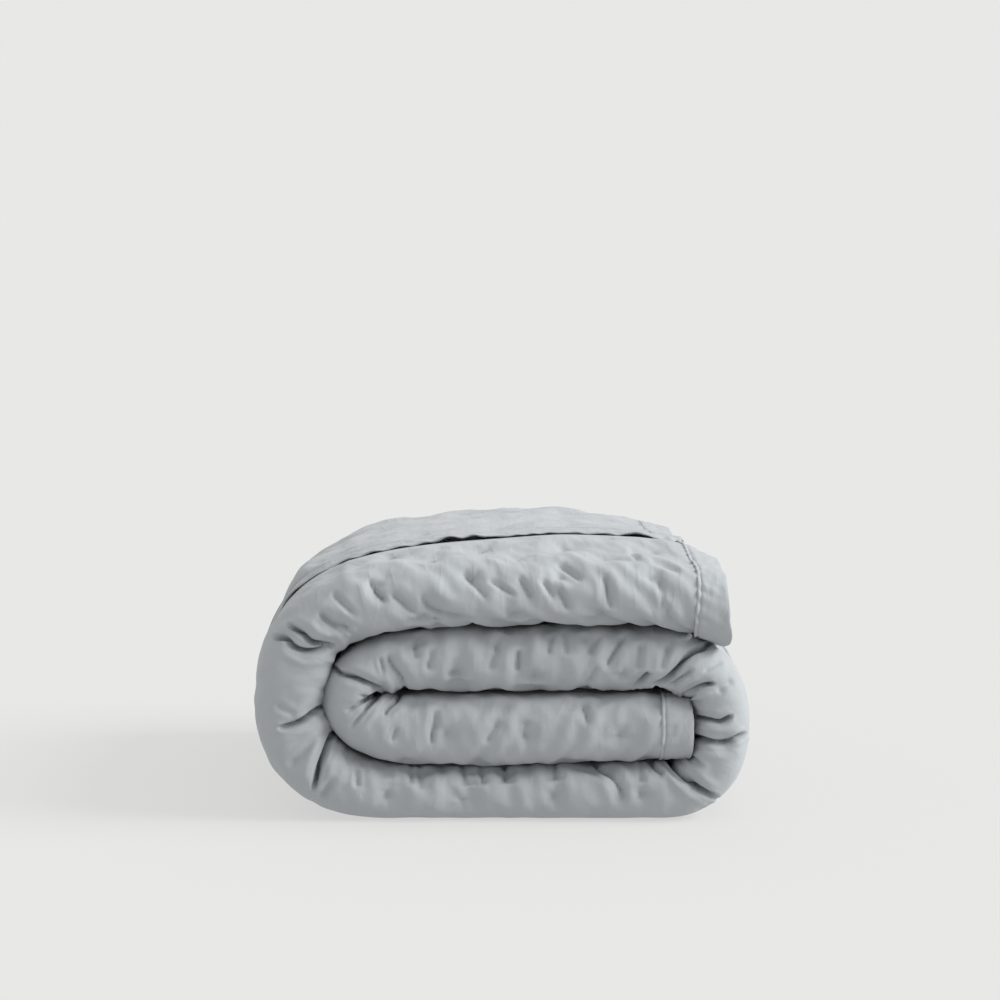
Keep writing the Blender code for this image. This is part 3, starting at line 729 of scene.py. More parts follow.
def settled(shape, normal, target, ratio, pinned, steps, bend):
    """The cloth let settle on its filling, step by step.

    shape is the filled form and target the height of the skin above it. The cloth's threads keep
    their own lengths, which are longer than the form by ratio, so that the cloth buckles. The filling
    holds it out (HOLD, SLIDE), and its stiffness, bend, which works on the curve of the curve, sets
    how wide the buckles are. Every other row of threads is pulled at once, along, across and slantwise.
    """
    shape, normal, target = (value.astype(np.float32) for value in (shape, normal, target))
    points = shape + normal * target[..., None]
    kept = points.copy()
    free = (~pinned).astype(np.float32)
    along, across = (
        np.maximum(
            np.linalg.norm(np.diff(shape, axis=axis), axis=-1) * ratio[axis],
            np.linalg.norm(np.diff(points, axis=axis), axis=-1),
        )
        for axis in (0, 1)
    )
    slope = np.sqrt(along[:, :-1] ** 2 + across[:-1] ** 2)
    rows, columns = len(along), across.shape[1]
    every, but_first, but_last = np.s_[:], np.s_[1:], np.s_[:-1]
    threads = []
    for k in (0, 1):
        near, far = np.s_[k:rows:2], np.s_[k + 1 : rows + 1 : 2]
        threads.append(((near, every), (far, every), along[k::2], 1.0))
        near, far = np.s_[k:columns:2], np.s_[k + 1 : columns + 1 : 2]
        threads.append(((every, near), (every, far), across[:, k::2], 1.0))
    for k in (0, 1):
        near, far = np.s_[k:rows:2], np.s_[k + 1 : rows + 1 : 2]
        threads.append(((near, but_last), (far, but_first), slope[k::2], SHEAR))
        threads.append(((near, but_first), (far, but_last), slope[k::2], SHEAR))
    for _ in range(steps):
        away = points - shape
        height = np.einsum("ijk,ijk->ij", away, normal)[..., None]
        points += normal * (HOLD * (target[..., None] - height)) - SLIDE * (away - normal * height)
        away = points - kept
        curve = np.zeros_like(away)
        curve[1:-1] += away[2:] + away[:-2] - 2 * away[1:-1]
        curve[:, 1:-1] += away[:, 2:] + away[:, :-2] - 2 * away[:, 1:-1]
        points[1:-1, 1:-1] -= bend * (
            curve[2:, 1:-1] + curve[:-2, 1:-1] + curve[1:-1, 2:] + curve[1:-1, :-2] - 4 * curve[1:-1, 1:-1]
        )
        for near, far, rest, stiff in threads:
            shorten(points, near, far, rest, free[near], free[far], stiff)
        points[pinned] = kept[pinned]
    return points.astype(float)


def doubled(grid):
    """The grid with a new line between each two.

    A new point is nine times the two beside it, less the two beyond those, over sixteen.
    """
    for axis in (0, 1):
        grid = np.moveaxis(grid, axis, 0)
        padded = np.concatenate([2 * grid[:1] - grid[1:2], grid, 2 * grid[-1:] - grid[-2:-1]])
        new = np.empty((2 * len(grid) - 1, *grid.shape[1:]))
        new[::2] = grid
        new[1::2] = (9 * (grid[:-1] + grid[1:]) - padded[:-3] - padded[3:]) / 16
        grid = np.moveaxis(new, 0, axis)
    return grid


def dressed(form, normal, broad, fine, gather, pinned, tacked):
    """A skin settled on its form, first coarsely by the broad heights and then by the fine ones."""
    wide = np.s_[::2, ::2]
    ratio = (gather[::2, ::2], 1 + EXCESS_ACROSS)
    soft = settled(form[wide], normal[wide], broad[wide], ratio, pinned[wide], BROAD_STEPS, BROAD_BEND)
    ready = form + doubled(soft - form[wide])
    ratio = (1 + FINE_EXCESS, 1 + EXCESS_ACROSS)
    return settled(ready, normal, fine, ratio, tacked, FINE_STEPS, FINE_BEND)


# How near to a tie the cloth is held, and how many points on each side are compared with it
TACK_REACH = 2.6
TIE_WINDOW = 3


def tie_points(grid, far, core):
    """The grid's points that lie nearest to a tie, with the ways along, across and out of the cloth."""
    window = 2 * TIE_WINDOW + 1
    near = np.pad(far, TIE_WINDOW, constant_values=FAR_OFF)
    lowest = np.lib.stride_tricks.sliding_window_view(near, (window, window)).min(axis=(2, 3))
    found = (far <= lowest) & (far < TACK_REACH)
    across = unit(np.gradient(grid, axis=1))
    out = outward(grid, core)
    return grid[found], across[found], out[found]


def rimmed(found):
    """The places given, and the four sides of the grid."""
    found = found.copy()
    found[[0, -1]] = True
    found[:, [0, -1]] = True
    return found


# The stations, closer together at the bends than on the straight runs. They come in groups,
# because some skins take only every second or fourth one.
STATION = 2.8
BEND_STATION = 1.6
BEND_FROM = 110.0
BEND_EASE = 120.0
TURN_SOFTENING = 10.0
STATION_GROUP = 8
pad_start = BINDING_WIDTH + SEAM_GAP
pad_end = STRIP.length - BINDING_WIDTH - SEAM_GAP
turning = softened(1.0 / STRIP.radius[:, None], TURN_SOFTENING, STRIP.length / SAMPLES)[:, 0]
spacing = mix(BEND_STATION, STATION, ease((1.0 / np.maximum(turning, LEAST_TURN) - BEND_FROM) / BEND_EASE))
numbers = np.cumsum(STRIP.length / SAMPLES / spacing)
ends = np.interp([pad_start, pad_end], STRIP.along, numbers)
station_count = STATION_GROUP * int((ends[1] - ends[0]) / STATION_GROUP) + 1
fine_s = np.interp(np.linspace(*ends, station_count), numbers, STRIP.along)

# How the skins close at the ends of the pad, and how the cloth is drawn tight on the outer bends
PAD_TAPER = 30.0
PAD_LEAD = 4.0
BEND_TRIM = 2.2
TRIM_RADIUS = 90.0
TRIM_EASE = 120.0
OUTER_TURN_FADE = 40.0


def bend_radius(s):
    """How wide the strip's bend is at s: one over its softened turning."""
    return 1.0 / np.maximum(STRIP.at(s, turning), LEAST_TURN)


def tightened(s):
    """How much closer the cloth lies on the roll's outer bends, where it is drawn tight."""
    outermost = 1.0 - ease((s - STRIP.names["right_6"]) / OUTER_TURN_FADE)
    return BEND_TRIM * (1.0 - ease((bend_radius(s) - TRIM_RADIUS) / TRIM_EASE)) * outermost


def pad_taper(s):
    """From 0 at either end of the pad, where its skins are sewn together, to 1 inside it."""
    return ease((np.minimum(s - pad_start, pad_end - s) + PAD_LEAD) / PAD_TAPER)


# The front fold and the top in front of the flap, on every station
FRONT_COLUMNS = 57
STRIP_COLUMNS = 16
CORE_IN = 100.0
FLOOR_CLEAR = 2.0
FLOOR_FADE = 14.0
section = Section(fine_s)
y, n, panel = joined(section.front_fold(FRONT_COLUMNS), section.top_strip(STRIP_COLUMNS))
run = run_across(y, n)
front_run = run - run[:, FRONT_COLUMNS // 2 : FRONT_COLUMNS // 2 + 1]
form = laid(section, y, n, panel)
core = section.inside(section.front + CORE_IN)
normal = outward(form, core)
taper = pad_taper(section.s)
clear = ease((form[..., 2] - FLOOR_CLEAR) / FLOOR_FADE)

# Its ties show on the straight runs: all rows on top of the roll, and elsewhere those at the nose
TIE_LEAN = 0.06
TIE_BEND = 120.0
LOWEST_ROW = -1.0
HIGHEST_ROW = 0.8
ROW_FADE = 0.3
TOP_RUN_END = 380.0
TOP_RUN_FADE = 40.0
row = front_run / ROW_PITCH - STRIP.at(section.s, STRIP.tie_rows)
number = STRIP.at(section.s, STRIP.ties)
tie_far, tie_angle = tie_distance(number + TIE_LEAN * np.maximum(row, 0.0), row)
top_run = 1.0 - ease((section.s - TOP_RUN_END) / TOP_RUN_FADE)
shown = ease((row - LOWEST_ROW) / ROW_FADE) * np.maximum(top_run, 1.0 - ease((row - HIGHEST_ROW) / ROW_FADE))
shown = shown * ease((bend_radius(section.s) - TIE_BEND) / TIE_BEND)
tied = (tie_far < 2 * TACK_REACH) & (shown > 0.5)
tacked = (tie_far < TACK_REACH) & (shown > 0.5)

# Its filling, which closes the gap to the next turn at the bends
PUFF = 1.0
CLOSED_GAP = -2.4
TIGHT_FILL = 8.0
INNER_SIDE_PANEL = 3.12
INNER_SIDE_FADE = 0.42
# Where the roll's inner side is fuller, to meet the next turn: place, shift, reach, height
FILLS = (
    ("top_2", 0.0, 200.0, -2.6),
    ("left_3", -12.0, 32.0, 9.0),
    ("left_5", 10.0, 45.0, 6.0),
    ("right_2", 10.0, 45.0, 5.0),
    ("right_4", -8.0, 30.0, 3.0),
    ("right_5", 8.0, 22.0, 4.0),
)
inner_side = 1.0 - ease((panel - INNER_SIDE_PANEL) / INNER_SIDE_FADE)
filling = CLOSED_GAP + TIGHT_FILL * bell(STRIP.at(section.s, STRIP.radius) / TIGHT_RADIUS)
for place, shift, reach, height in FILLS:
    filling = filling + height * bell((section.s - STRIP.names[place] - shift) / reach)

# Folds pressed across the strip: place, reach, lean, pitch, height, and the middle and the reach
# of the belt around the nose that they fill
PLEATS = (
    ("top_2", 190.0, -0.9, 42.0, 0.7, -6.0, 48.0),
    ("inner_3", 170.0, 0.12, 25.0, 1.3, 8.0, 45.0),
    ("floor_3", 190.0, -0.1, 24.0, 1.3, -22.0, 32.0),
    ("core_3", 170.0, 0.35, 32.0, 0.8, 10.0, 42.0),
)
PLEAT_STRETCH = 0.22
PLEAT_SEED = 40
PLEAT_WAVES = 7
pleats = 0.0
for k, (place, reach, lean, pitch, height, belt, belt_reach) in enumerate(PLEATS):
    near = np.exp(-(((section.s - STRIP.names[place]) / reach) ** 4) - ((front_run - belt) / belt_reach) ** 4)
    across = PLEAT_STRETCH * front_run
    folds = waves(section.s + lean * front_run, across, pitch, PLEAT_SEED + k, PLEAT_WAVES)
    pleats = pleats + height * near * folds

# Its broad and fine heights, and how much longer its threads are than the form under them. The
# hollows of the creases settle with it, and their cores are pressed in afterwards.
TUFT_BROAD = 3.5
TUFT_SPREAD = 26.0
FRONT_WAVES = (1.0, 70.0, 3)
FRONT_RIPPLES = (0.4, 22.0, 4)
CREASE_STRENGTH = 1.15
EXCESS_ALONG = 0.035
GATHER_RADIUS = 90.0
CALM_END = 0.3
CALM_FROM = 40.0
CALM_RUN = 160.0
filled = form + normal * (PUFF + inner_side * filling)[..., None]
hollows, _ = crease_depth(*seen_from_front(filled), section.s)
broad = PUFF - shown * TUFT_BROAD * bell(tie_far / TUFT_SPREAD) + pleats
broad = (broad + uneven(section.s, front_run, FRONT_WAVES)) * taper - CREASE_STRENGTH * hollows
broad = broad * clear + inner_side * filling
broad = broad - tightened(section.s) * (1.0 - inner_side) * clear
fine = uneven(section.s, front_run, FRONT_RIPPLES) - shown * tufted(tie_far, tie_angle)
fine = fine * taper * clear
straight = ease((STRIP.at(fine_s[1:], STRIP.radius) - GATHER_RADIUS) / GATHER_RADIUS)
straight = straight * mix(CALM_END, 1.0, ease((fine_s[1:] - CALM_FROM) / CALM_RUN))
gather = np.broadcast_to(1.0 + EXCESS_ALONG * straight[:, None], form[1:, :, 0].shape)
front_skin = dressed(form, normal, broad, fine, gather, rimmed(tied), rimmed(tacked))
_, cores = crease_depth(*seen_from_front(front_skin), section.s)
front_skin -= normal * (CREASE_STRENGTH * cores * clear)[..., None]
tie_places = [tie_points(front_skin, np.where(shown > 0.5, tie_far, FAR_OFF), core)]

# The flap's top and the back fold, on every other station. Where it lies under the roll or inside
# it, it stays plain.
FLAP_COLUMNS = 42
BACK_COLUMNS = 19
FLAP_ROW = 26.0
FLAP_WAVES = (1.3, 90.0, 5)
FLAP_RIPPLES = (0.3, 26.0, 6)
FLAP_DRAWN = 470.0
FLAP_DRAWN_RUN = 40.0
FLAP_FOLD_REACH = 150.0
FLAP_EXCESS = 0.012
SEAM_LEAD = 5.0
SEAM_RUN = 25.0
FACING_DOWN = -0.7
FLAP_PANEL_END = 1.2
# Broad folds across the flap: place along the strip, height, reach
FLAP_FOLDS = ((345.0, 1.5, 20.0), (464.0, 9.0, 18.0), (506.0, -5.0, 16.0))
section = Section(fine_s[::2])
y, n, panel = joined(section.flap(FLAP_COLUMNS), section.back_fold(BACK_COLUMNS))
run = run_across(y, n)
form = laid(section, y, n, panel)
core = section.inside(section.back - CORE_IN)
normal = outward(form, core)
lying = STRIP.at(section.s, STRIP.out[:, 1]) < FACING_DOWN
hidden = (lying | (section.s > STRIP.names["inner_1"])) & (panel < FLAP_PANEL_END)
tie_far, tie_angle = tie_distance(STRIP.at(section.s, STRIP.ties), (run - FLAP_ROW) / ROW_PITCH)
tie_far = np.where(hidden, FAR_OFF, tie_far)
tied = rimmed((tie_far < 2 * TACK_REACH) | hidden)
taper = pad_taper(section.s) * ease((run + SEAM_LEAD) / SEAM_RUN)
broad = PUFF - TUFT_BROAD * bell(tie_far / TUFT_SPREAD) + uneven(section.s, run, FLAP_WAVES)
broad = broad - tightened(section.s) * ease((section.s - FLAP_DRAWN) / FLAP_DRAWN_RUN)
for at, height, reach in FLAP_FOLDS:
    broad = broad + height * np.exp(-(((section.s - at) / reach) ** 2) - (run / FLAP_FOLD_REACH) ** 2)
broad = np.where(hidden, 0.0, broad) * taper
fine = uneven(section.s, run, FLAP_RIPPLES) - tufted(tie_far, tie_angle)
fine = np.where(hidden, 0.0, fine) * taper
gather = np.full((len(section.s) - 1, form.shape[1]), 1.0 + FLAP_EXCESS)
flap_skin = dressed(form, normal, broad, fine, gather, tied, tied)
tie_places.append(tie_points(flap_skin, tie_far, core))

# The hidden faces, on every fourth station
BASE_COLUMNS = 5
section = Section(fine_s[::4])
base_skin, under_skin, inner_skin = (
    laid(section, *skin) for skin in (section.base(BASE_COLUMNS), section.under_flap(), section.inner_skin())
)


def between(a, a_step, b, b_step):
    """Faces between two columns of vertex numbers, where one may have twice the other's stations."""
    if a_step == b_step:
        return np.column_stack([a[:-1], a[1:], b[1:], b[:-1]]).tolist()
    if a_step < b_step:
        return np.column_stack([a[:-2:2], a[1:-1:2], a[2::2], b[1:], b[:-1]]).tolist()
    return np.column_stack([a[:-1], a[1:], b[2::2], b[1:-1:2], b[:-2:2]]).tolist()


def ring_mesh(name, stations, blocks, split):
    """A closed skin from blocks of columns around the ring: points by station and column, and stride.

    The ends are closed between the columns before the column number split and those after it.
    """
    points, uv, columns, steps, faces = [], [], [], [], []
    count = 0
    across = 0.0
    before = blocks[0][0][:: 4 // blocks[0][1], 0]
    for block, stride in blocks:
        rows, width = block.shape[:2]
        numbers = count + np.arange(rows * width).reshape(rows, width)
        points.append(block.reshape(-1, 3))
        columns += list(numbers.T)
        steps += [stride] * width
        count += rows * width
        coarse = np.concatenate([before[:, None], block[:: 4 // stride]], axis=1)
        place = across + np.cumsum(np.linalg.norm(np.diff(coarse, axis=1), axis=-1).mean(axis=0))
        uv.append(np.stack(np.meshgrid(stations[::stride], place, indexing="ij"), axis=-1).reshape(-1, 2))
        across, before = place[-1], coarse[:, -1]
    for k in range(len(columns)):
        nxt = (k + 1) % len(columns)
        faces += between(columns[k], steps[k], columns[nxt], steps[nxt])
    for end, turned in ((0, True), (-1, False)):
        ends = [column[end] for column in columns]
        cap = zipped(ends[:split], ends[split:][::-1])
        faces += [face[::-1] if turned else face for face in cap]
    points = np.vstack(points)
    points[:, 2] = np.maximum(points[:, 2], 0.0)
    return mesh_object(name, points * MM, faces, np.vstack(uv) * MM)


def zipped(first_row, second_row):
    """Triangles between two rows of vertices that run side by side.

    Each triangle goes on along the row that is behind the other, as a share of its length.
    """
    first_row, second_row = np.array(first_row), np.array(second_row)
    first_steps, second_steps = len(first_row) - 1, len(second_row) - 1
    share = np.concatenate([np.arange(first_steps) * second_steps, np.arange(second_steps) * first_steps])
    on_first = np.argsort(share, kind="stable") < first_steps
    i = np.cumsum(on_first) - on_first
    j = np.cumsum(~on_first) - ~on_first
    ahead = np.where(on_first, first_row[i + on_first], second_row[j + ~on_first])
    return np.column_stack([first_row[i], ahead, second_row[j]]).tolist()


def mesh_object(name, points, faces, uv):
    """An object at the origin from points in metres and faces, all turned outwards.

    The faces are turned if the volume that they enclose comes out below zero. The places on the flat
    cloth, in metres, are its UV map.
    """
    corners = [(face[0], face[k], face[k + 1]) for face in faces for k in range(1, len(face) - 1)]
    corners = points[np.array(corners)]
    volume = np.einsum("ij,ij->i", corners[:, 0], np.cross(corners[:, 1], corners[:, 2])).sum()
    if volume < 0:
        faces = [face[::-1] for face in faces]
    mesh = bpy.data.meshes.new(name)
    mesh.from_pydata(points, [], faces)
    mesh.shade_smooth()
    corner = np.empty(len(mesh.loops), np.int32)
    mesh.loops.foreach_get("vertex_index", corner)
    mesh.uv_layers.new(name="cloth").data.foreach_set("uv", uv[corner].astype(np.float32).ravel())
    obj = bpy.data.objects.new(name, mesh)
    bpy.context.scene.collection.objects.link(obj)
    return obj


MM = 0.001
blocks = [
    (flap_skin, 2),
    (base_skin, 4),
    (front_skin[::2, :1], 2),
    (front_skin[:, 1:-1], 1),
    (front_skin[::2, -1:], 2),
    (under_skin, 4),
    (inner_skin, 4),
]
outer_columns = sum(block.shape[1] for block, _ in blocks[:-1])
quilt = ring_mesh("quilt_body", fine_s, blocks, outer_columns)

THREAD_PITCH = 0.0006
WEAVE_DEPTH = 0.00006
CRINKLE_SCALE = 95.0
CRINKLE_DEPTH = 0.001
FINE_CRINKLE_SCALE = 2.2 * CRINKLE_SCALE
FINE_CRINKLE_DEPTH = 0.0005
FOLD_SCALE = 38.0
FOLD_DEPTH = 0.02
FOLD_SHARPNESS = 4.0
CRINKLE_STRETCH = (1.0, 0.35, 1.0)
DYE_SCALE = 45.0
DYE_UNEVENNESS = 0.045
CLOTH_COLOUR = (0.349, 0.37, 0.384)


def new_material(name, values):
    """A new material whose shader has the values given, with its nodes, its links and its shader."""
    material = bpy.data.materials.new(name)
    material.use_nodes = True
    tree = material.node_tree
    shader = tree.nodes["Principled BSDF"]
    for socket, value in values.items():
        shader.inputs[socket].default_value = value
    return material, tree.nodes, tree.links, shader


def cloth_material(name, colour):
    """A matt washed cloth: a fine plain weave, crinkles of two sizes, small sharp folds, uneven dyeing.

    The weave is the higher of two waves at right angles. The folds are noise that is mirrored at its
    middle value and raised to a power, so that it has narrow ridges.
    """
    values = {"Roughness": 0.9, "Sheen Weight": 0.15, "Sheen Roughness": 0.5}
    material, nodes, links, shader = new_material(name, values)
    place = nodes.new("ShaderNodeTexCoord").outputs["Object"]
    flat = nodes.new("ShaderNodeUVMap")
    flat.uv_map = "cloth"

    def noise(source, scale, detail):
        """Soft noise of this scale."""
        node = nodes.new("ShaderNodeTexNoise")
        node.inputs["Scale"].default_value = scale
        node.inputs["Detail"].default_value = detail
        links.new(source, node.inputs["Vector"])
        return node.outputs["Fac"]

    def weave(direction):
        """Threads one way, a pitch apart: the wave's phase is 20 times its scale times the place."""
        node = nodes.new("ShaderNodeTexWave")
        node.bands_direction = direction
        node.inputs["Scale"].default_value = 2 * math.pi / (20.0 * THREAD_PITCH)
        node.inputs["Distortion"].default_value = 0.0
        links.new(flat.outputs["UV"], node.inputs["Vector"])
        return node.outputs["Fac"]

    def worked_out(operation, first, second):
        """The operation done on two values; the second is a number or another output."""
        node = nodes.new("ShaderNodeMath")
        node.operation = operation
        links.new(first, node.inputs[0])
        if isinstance(second, float):
            node.inputs[1].default_value = second
        else:
            links.new(second, node.inputs[1])
        return node.outputs[0]

    def bump(height, distance, strength, normal):
        """The surface's normal turned as this height asks, on top of an earlier turn."""
        node = nodes.new("ShaderNodeBump")
        node.inputs["Distance"].default_value = distance
        node.inputs["Strength"].default_value = strength
        links.new(height, node.inputs["Height"])
        if normal is not None:
            links.new(normal, node.inputs["Normal"])
        return node.outputs["Normal"]

    stretch = nodes.new("ShaderNodeMapping")
    stretch.inputs["Scale"].default_value = CRINKLE_STRETCH
    links.new(flat.outputs["UV"], stretch.inputs["Vector"])
    stretched = stretch.outputs["Vector"]
    folds = worked_out("PINGPONG", noise(stretched, FOLD_SCALE, 2.0), 0.5)
    folds = worked_out("POWER", folds, FOLD_SHARPNESS)
    normal = bump(noise(stretched, CRINKLE_SCALE, 3.0), CRINKLE_DEPTH, 0.4, None)
    normal = bump(noise(place, FINE_CRINKLE_SCALE, 4.0), FINE_CRINKLE_DEPTH, 0.45, normal)
    normal = bump(folds, FOLD_DEPTH, 0.45, normal)
    normal = bump(worked_out("MAXIMUM", weave("X"), weave("Y")), WEAVE_DEPTH, 0.5, normal)
    links.new(normal, shader.inputs["Normal"])

    # The colour sockets of this node go by number, because several share a name.
    dye = nodes.new("ShaderNodeMix")
    dye.data_type = "RGBA"
    dye.inputs[6].default_value = (*(value * (1 - DYE_UNEVENNESS) for value in colour), 1.0)
    dye.inputs[7].default_value = (*(value * (1 + DYE_UNEVENNESS) for value in colour), 1.0)
    links.new(noise(place, DYE_SCALE, 5.0), dye.inputs[0])
    links.new(dye.outputs[2], shader.inputs["Base Color"])
    return material


quilt.data.materials.append(cloth_material("washed_cloth", CLOTH_COLOUR))
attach(quilt, "root")
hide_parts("quilt")

# The two end bindings: doubled bands of the same cloth, folded over the ends of the pad and
# topstitched beside their folds. They follow the fold of the strip's layers, and their edges hang free.
BAND_THICK = 2.2
BAND_LAP = 2.5
BAND_RISE = 0.3
LEAST_ROUNDING = 0.02
EDGE_ROUNDING = (0.0, 0.35, 1.0, 2.0)
STITCH_GROOVE = (3.2, 4.2, 5.2)
STITCH_FROM_FOLD = 4.2
STITCH_ROW = (EDGE_ROUNDING + STITCH_GROOVE).index(STITCH_FROM_FOLD)


def band_rows(width, step):
    """Places across a band, close together at its two edges, with the thickness at each.

    The thickness follows a quarter of a circle at either edge.
    """
    rim, groove = np.array(EDGE_ROUNDING), np.array(STITCH_GROOVE)
    count = max(2, int(round((width - rim[-1] - groove[-1]) / step)))
    inside = np.linspace(groove[-1], width - rim[-1], count + 1)[1:-1]
    places = np.concatenate([rim, groove, inside, width - rim[::-1]])
    near = np.minimum(places, width - places) / rim[-1]
    thick = BAND_THICK * np.sqrt(np.clip(1.0 - (1.0 - np.minimum(near, 1.0)) ** 2, LEAST_ROUNDING, 1.0))
    return places, thick


def sheet_object(name, middle, thick):
    """A closed sheet around a grid of points: both faces, half the thickness out, and the rim."""
    rows, columns = middle.shape[:2]
    across = np.cross(np.gradient(middle, axis=0), np.gradient(middle, axis=1))
    half = unit(across) * thick[..., None] / 2
    points = np.vstack([(middle + half).reshape(-1, 3), (middle - half).reshape(-1, 3)])
    number = np.arange(rows * columns).reshape(rows, columns)
    under = number + rows * columns

    def quads(*corners):
        """Faces from the vertex numbers of their first, second, third and fourth corners."""
        return np.column_stack([value.ravel() for value in corners]).tolist()

    faces = quads(number[:-1, :-1], number[1:, :-1], number[1:, 1:], number[:-1, 1:])
    faces += quads(under[:-1, :-1], under[:-1, 1:], under[1:, 1:], under[1:, :-1])
    rim = np.concatenate([number[0, :-1], number[:-1, -1], number[-1, :0:-1], number[:0:-1, 0]])
    low = rim + rows * columns
    faces += quads(rim, np.roll(rim, -1), np.roll(low, -1), low)
    points[:, 2] = np.maximum(points[:, 2], 0.0)
    steps = [np.linalg.norm(np.diff(middle, axis=axis), axis=-1).mean(axis=1 - axis) for axis in (0, 1)]
    places = [np.concatenate([[0.0], np.cumsum(step)]) for step in steps]
    uv = np.stack(np.meshgrid(*places, indexing="ij"), axis=-1).reshape(-1, 2)
    return mesh_object(name, points * MM, faces, np.vstack([uv, uv]) * MM)


END_BAND_STEP = 2.2
END_FLAP_COLUMNS = 70
END_BACK_COLUMNS = 24
END_BASE_COLUMNS = 50
END_FRONT_COLUMNS = 61
END_TOP_COLUMNS = 30
FOLD_LIFT = 0.4
FOLD_WIDTH = 1.6
SEWN_IN = 1.4
GROOVE_WIDTH = 1.1
SHOWN_PANEL = 2.6
SHOWN_FADE = 0.5
SUNK = 1.6
PUCKER = 0.9
PUCKER_PITCH = 11.0
PUCKER_LEAN = 0.22
PUCKER_RUN = 14.0
HIDDEN_PUCKER = 0.3
PUCKER_WAVES = 5
HANG_WAVE = 85.0
HANG_WAVE_HEIGHT = 2.0
CRUMPLE = 0.4
CRUMPLE_WAVE = 17.0
CRUMPLE_LEAN = 1.7


def end_band(name, seam_at, edge_at, droop, panels, leans, seed):
    """The band at one end: its fold lies on the pad, and its edge hangs free.

    The edge droops by half a sine wave between two panels, and leans out along the strip by a bell
    for each row of leans: distance, panel, reach. Its height is the fold's bell, less the sewing's,
    and three waves: puckers at the sewing, broad waves at the edge, and crumples.
    """
    places, thick = band_rows(BINDING_WIDTH + BAND_LAP, END_BAND_STEP)
    section = Section(seam_at + math.copysign(1.0, edge_at - seam_at) * (places - BAND_LAP))
    y, n, panel = joined(
        section.flap(END_FLAP_COLUMNS),
        section.back_fold(END_BACK_COLUMNS),
        section.base(END_BASE_COLUMNS),
        section.front_fold(END_FRONT_COLUMNS),
        section.top_strip(END_TOP_COLUMNS),
        section.under_flap(),
    )
    run = run_across(y, n)
    from_fold = places[:, None]
    hang = np.clip((from_fold - BAND_LAP) / BINDING_WIDTH, 0.0, 1.0)
    share = np.clip((panel - panels[0]) / (panels[1] - panels[0]), 0.0, 1.0)
    middle = laid(section, y, n + droop * np.sin(math.pi * share) * hang, panel)
    for far, at, reach in leans:
        middle[..., 0] += far * hang * bell((panel - at) / reach)
    normal = outward(middle, section.inside(section.front + CORE_IN))
    showing = ease((panel - SHOWN_PANEL) / SHOWN_FADE)
    fold = FOLD_LIFT * bell(from_fold / FOLD_WIDTH)
    fold = showing * (fold - SEWN_IN * bell((from_fold - STITCH_FROM_FOLD) / GROOVE_WIDTH))
    near = mix(HIDDEN_PUCKER, 1.0, showing) * np.exp(-from_fold / PUCKER_RUN)
    pucker = PUCKER * near * waves(run, PUCKER_LEAN * from_fold, PUCKER_PITCH, seed, PUCKER_WAVES)
    broad = HANG_WAVE_HEIGHT * hang**2 * waves(run, from_fold, HANG_WAVE, seed + 1)
    height = fold + pucker + broad + CRUMPLE * waves(run, CRUMPLE_LEAN * from_fold, CRUMPLE_WAVE, seed + 2)
    middle = middle + normal * (height + BAND_RISE - SUNK * (1.0 - showing))[..., None]
    obj = sheet_object(name, middle, np.broadcast_to(thick[:, None], middle.shape[:2]))
    return obj, middle[STITCH_ROW], normal[STITCH_ROW]


outer_band, outer_line, outer_normal = end_band(
    "outer_band",
    seam_at=BINDING_WIDTH,
    edge_at=0.0,
    droop=-50.0,
    panels=(4.06, 6.0),
    leans=((10.0, 3.3, 0.26), (-4.5, 3.8, 0.25)),
    seed=11,
)
inner_band, inner_line, inner_normal = end_band(
    "inner_band",
    seam_at=STRIP.length - BINDING_WIDTH,
    edge_at=STRIP.length,
    droop=24.0,
    panels=(2.0, 3.0),
    leans=((-3.0, 3.1, 0.2), (-1.5, 3.9, 0.2)),
    seed=21,
)

band_cloth = cloth_material("band_cloth", CLOTH_COLOUR)


def as_binding(band, node):
    """Gives a band its cloth, and puts it on the roll in place of its node."""
    band.data.materials.append(band_cloth)
    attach(band, "root")
    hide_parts(node)


as_binding(outer_band, "binding_outer_end")
as_binding(inner_band, "binding_inner_end")

# The long binding: a doubled band along the flap's free edge, topstitched beside its fold. It lies
# along the top of the roll and goes in with the strip. Its edge stands off in a few places, and its
# corner at the outer end is ruffled.
LONG_BAND_STEP = 2.6
LONG_BAND_STATIONS = 921
EDGE_SINK = 1.4
# Where the edge stands off: place along the strip, height, reach
LIFTS = (
    (52.0, 4.5, 11.0),
    (272.0, 3.5, 20.0),
    (308.0, 5.0, 15.0),
    (392.0, 1.0, 12.0),
    (440.0, -0.6, 50.0),
    (474.0, 2.0, 9.0),
)
LIFT_CURVE = 1.5
RUFFLE = 2.6
RUFFLE_REACH = 38.0
RUFFLE_PITCH = 17.0
RUFFLE_LEAN = 0.3
RUFFLE_SEED = 33
RUFFLE_WAVES = 5
CORNER_FROM = 4.0
CORNER_DROP = 6.0
CORNER_DROP_REACH = 9.0
CORNER_CURL = 3.0
CURL_CURVE = 6
LONG_FOLD_LIFT = 0.6 * FOLD_LIFT
LONG_FOLD_WIDTH = 2.4
RIPPLES = (0.8, 24.0, 31)
RIPPLE_LEAN = 3.0
WRINKLES = (0.5, 9.0, 32)
WRINKLE_STRETCH = 0.35
RIPPLED_TO = 560.0
RIPPLED_FADE = 60.0
places, thick = band_rows(BINDING_WIDTH + BAND_LAP, LONG_BAND_STEP)
section = Section(np.linspace(CORNER_FROM, STRIP.length, LONG_BAND_STATIONS))
place = places[None, :] - BAND_LAP
edge_share = np.clip(place / BINDING_WIDTH, 0.0, 1.0)
seam_n = section.flap_top(section.seam) - BAND_THICK / 2
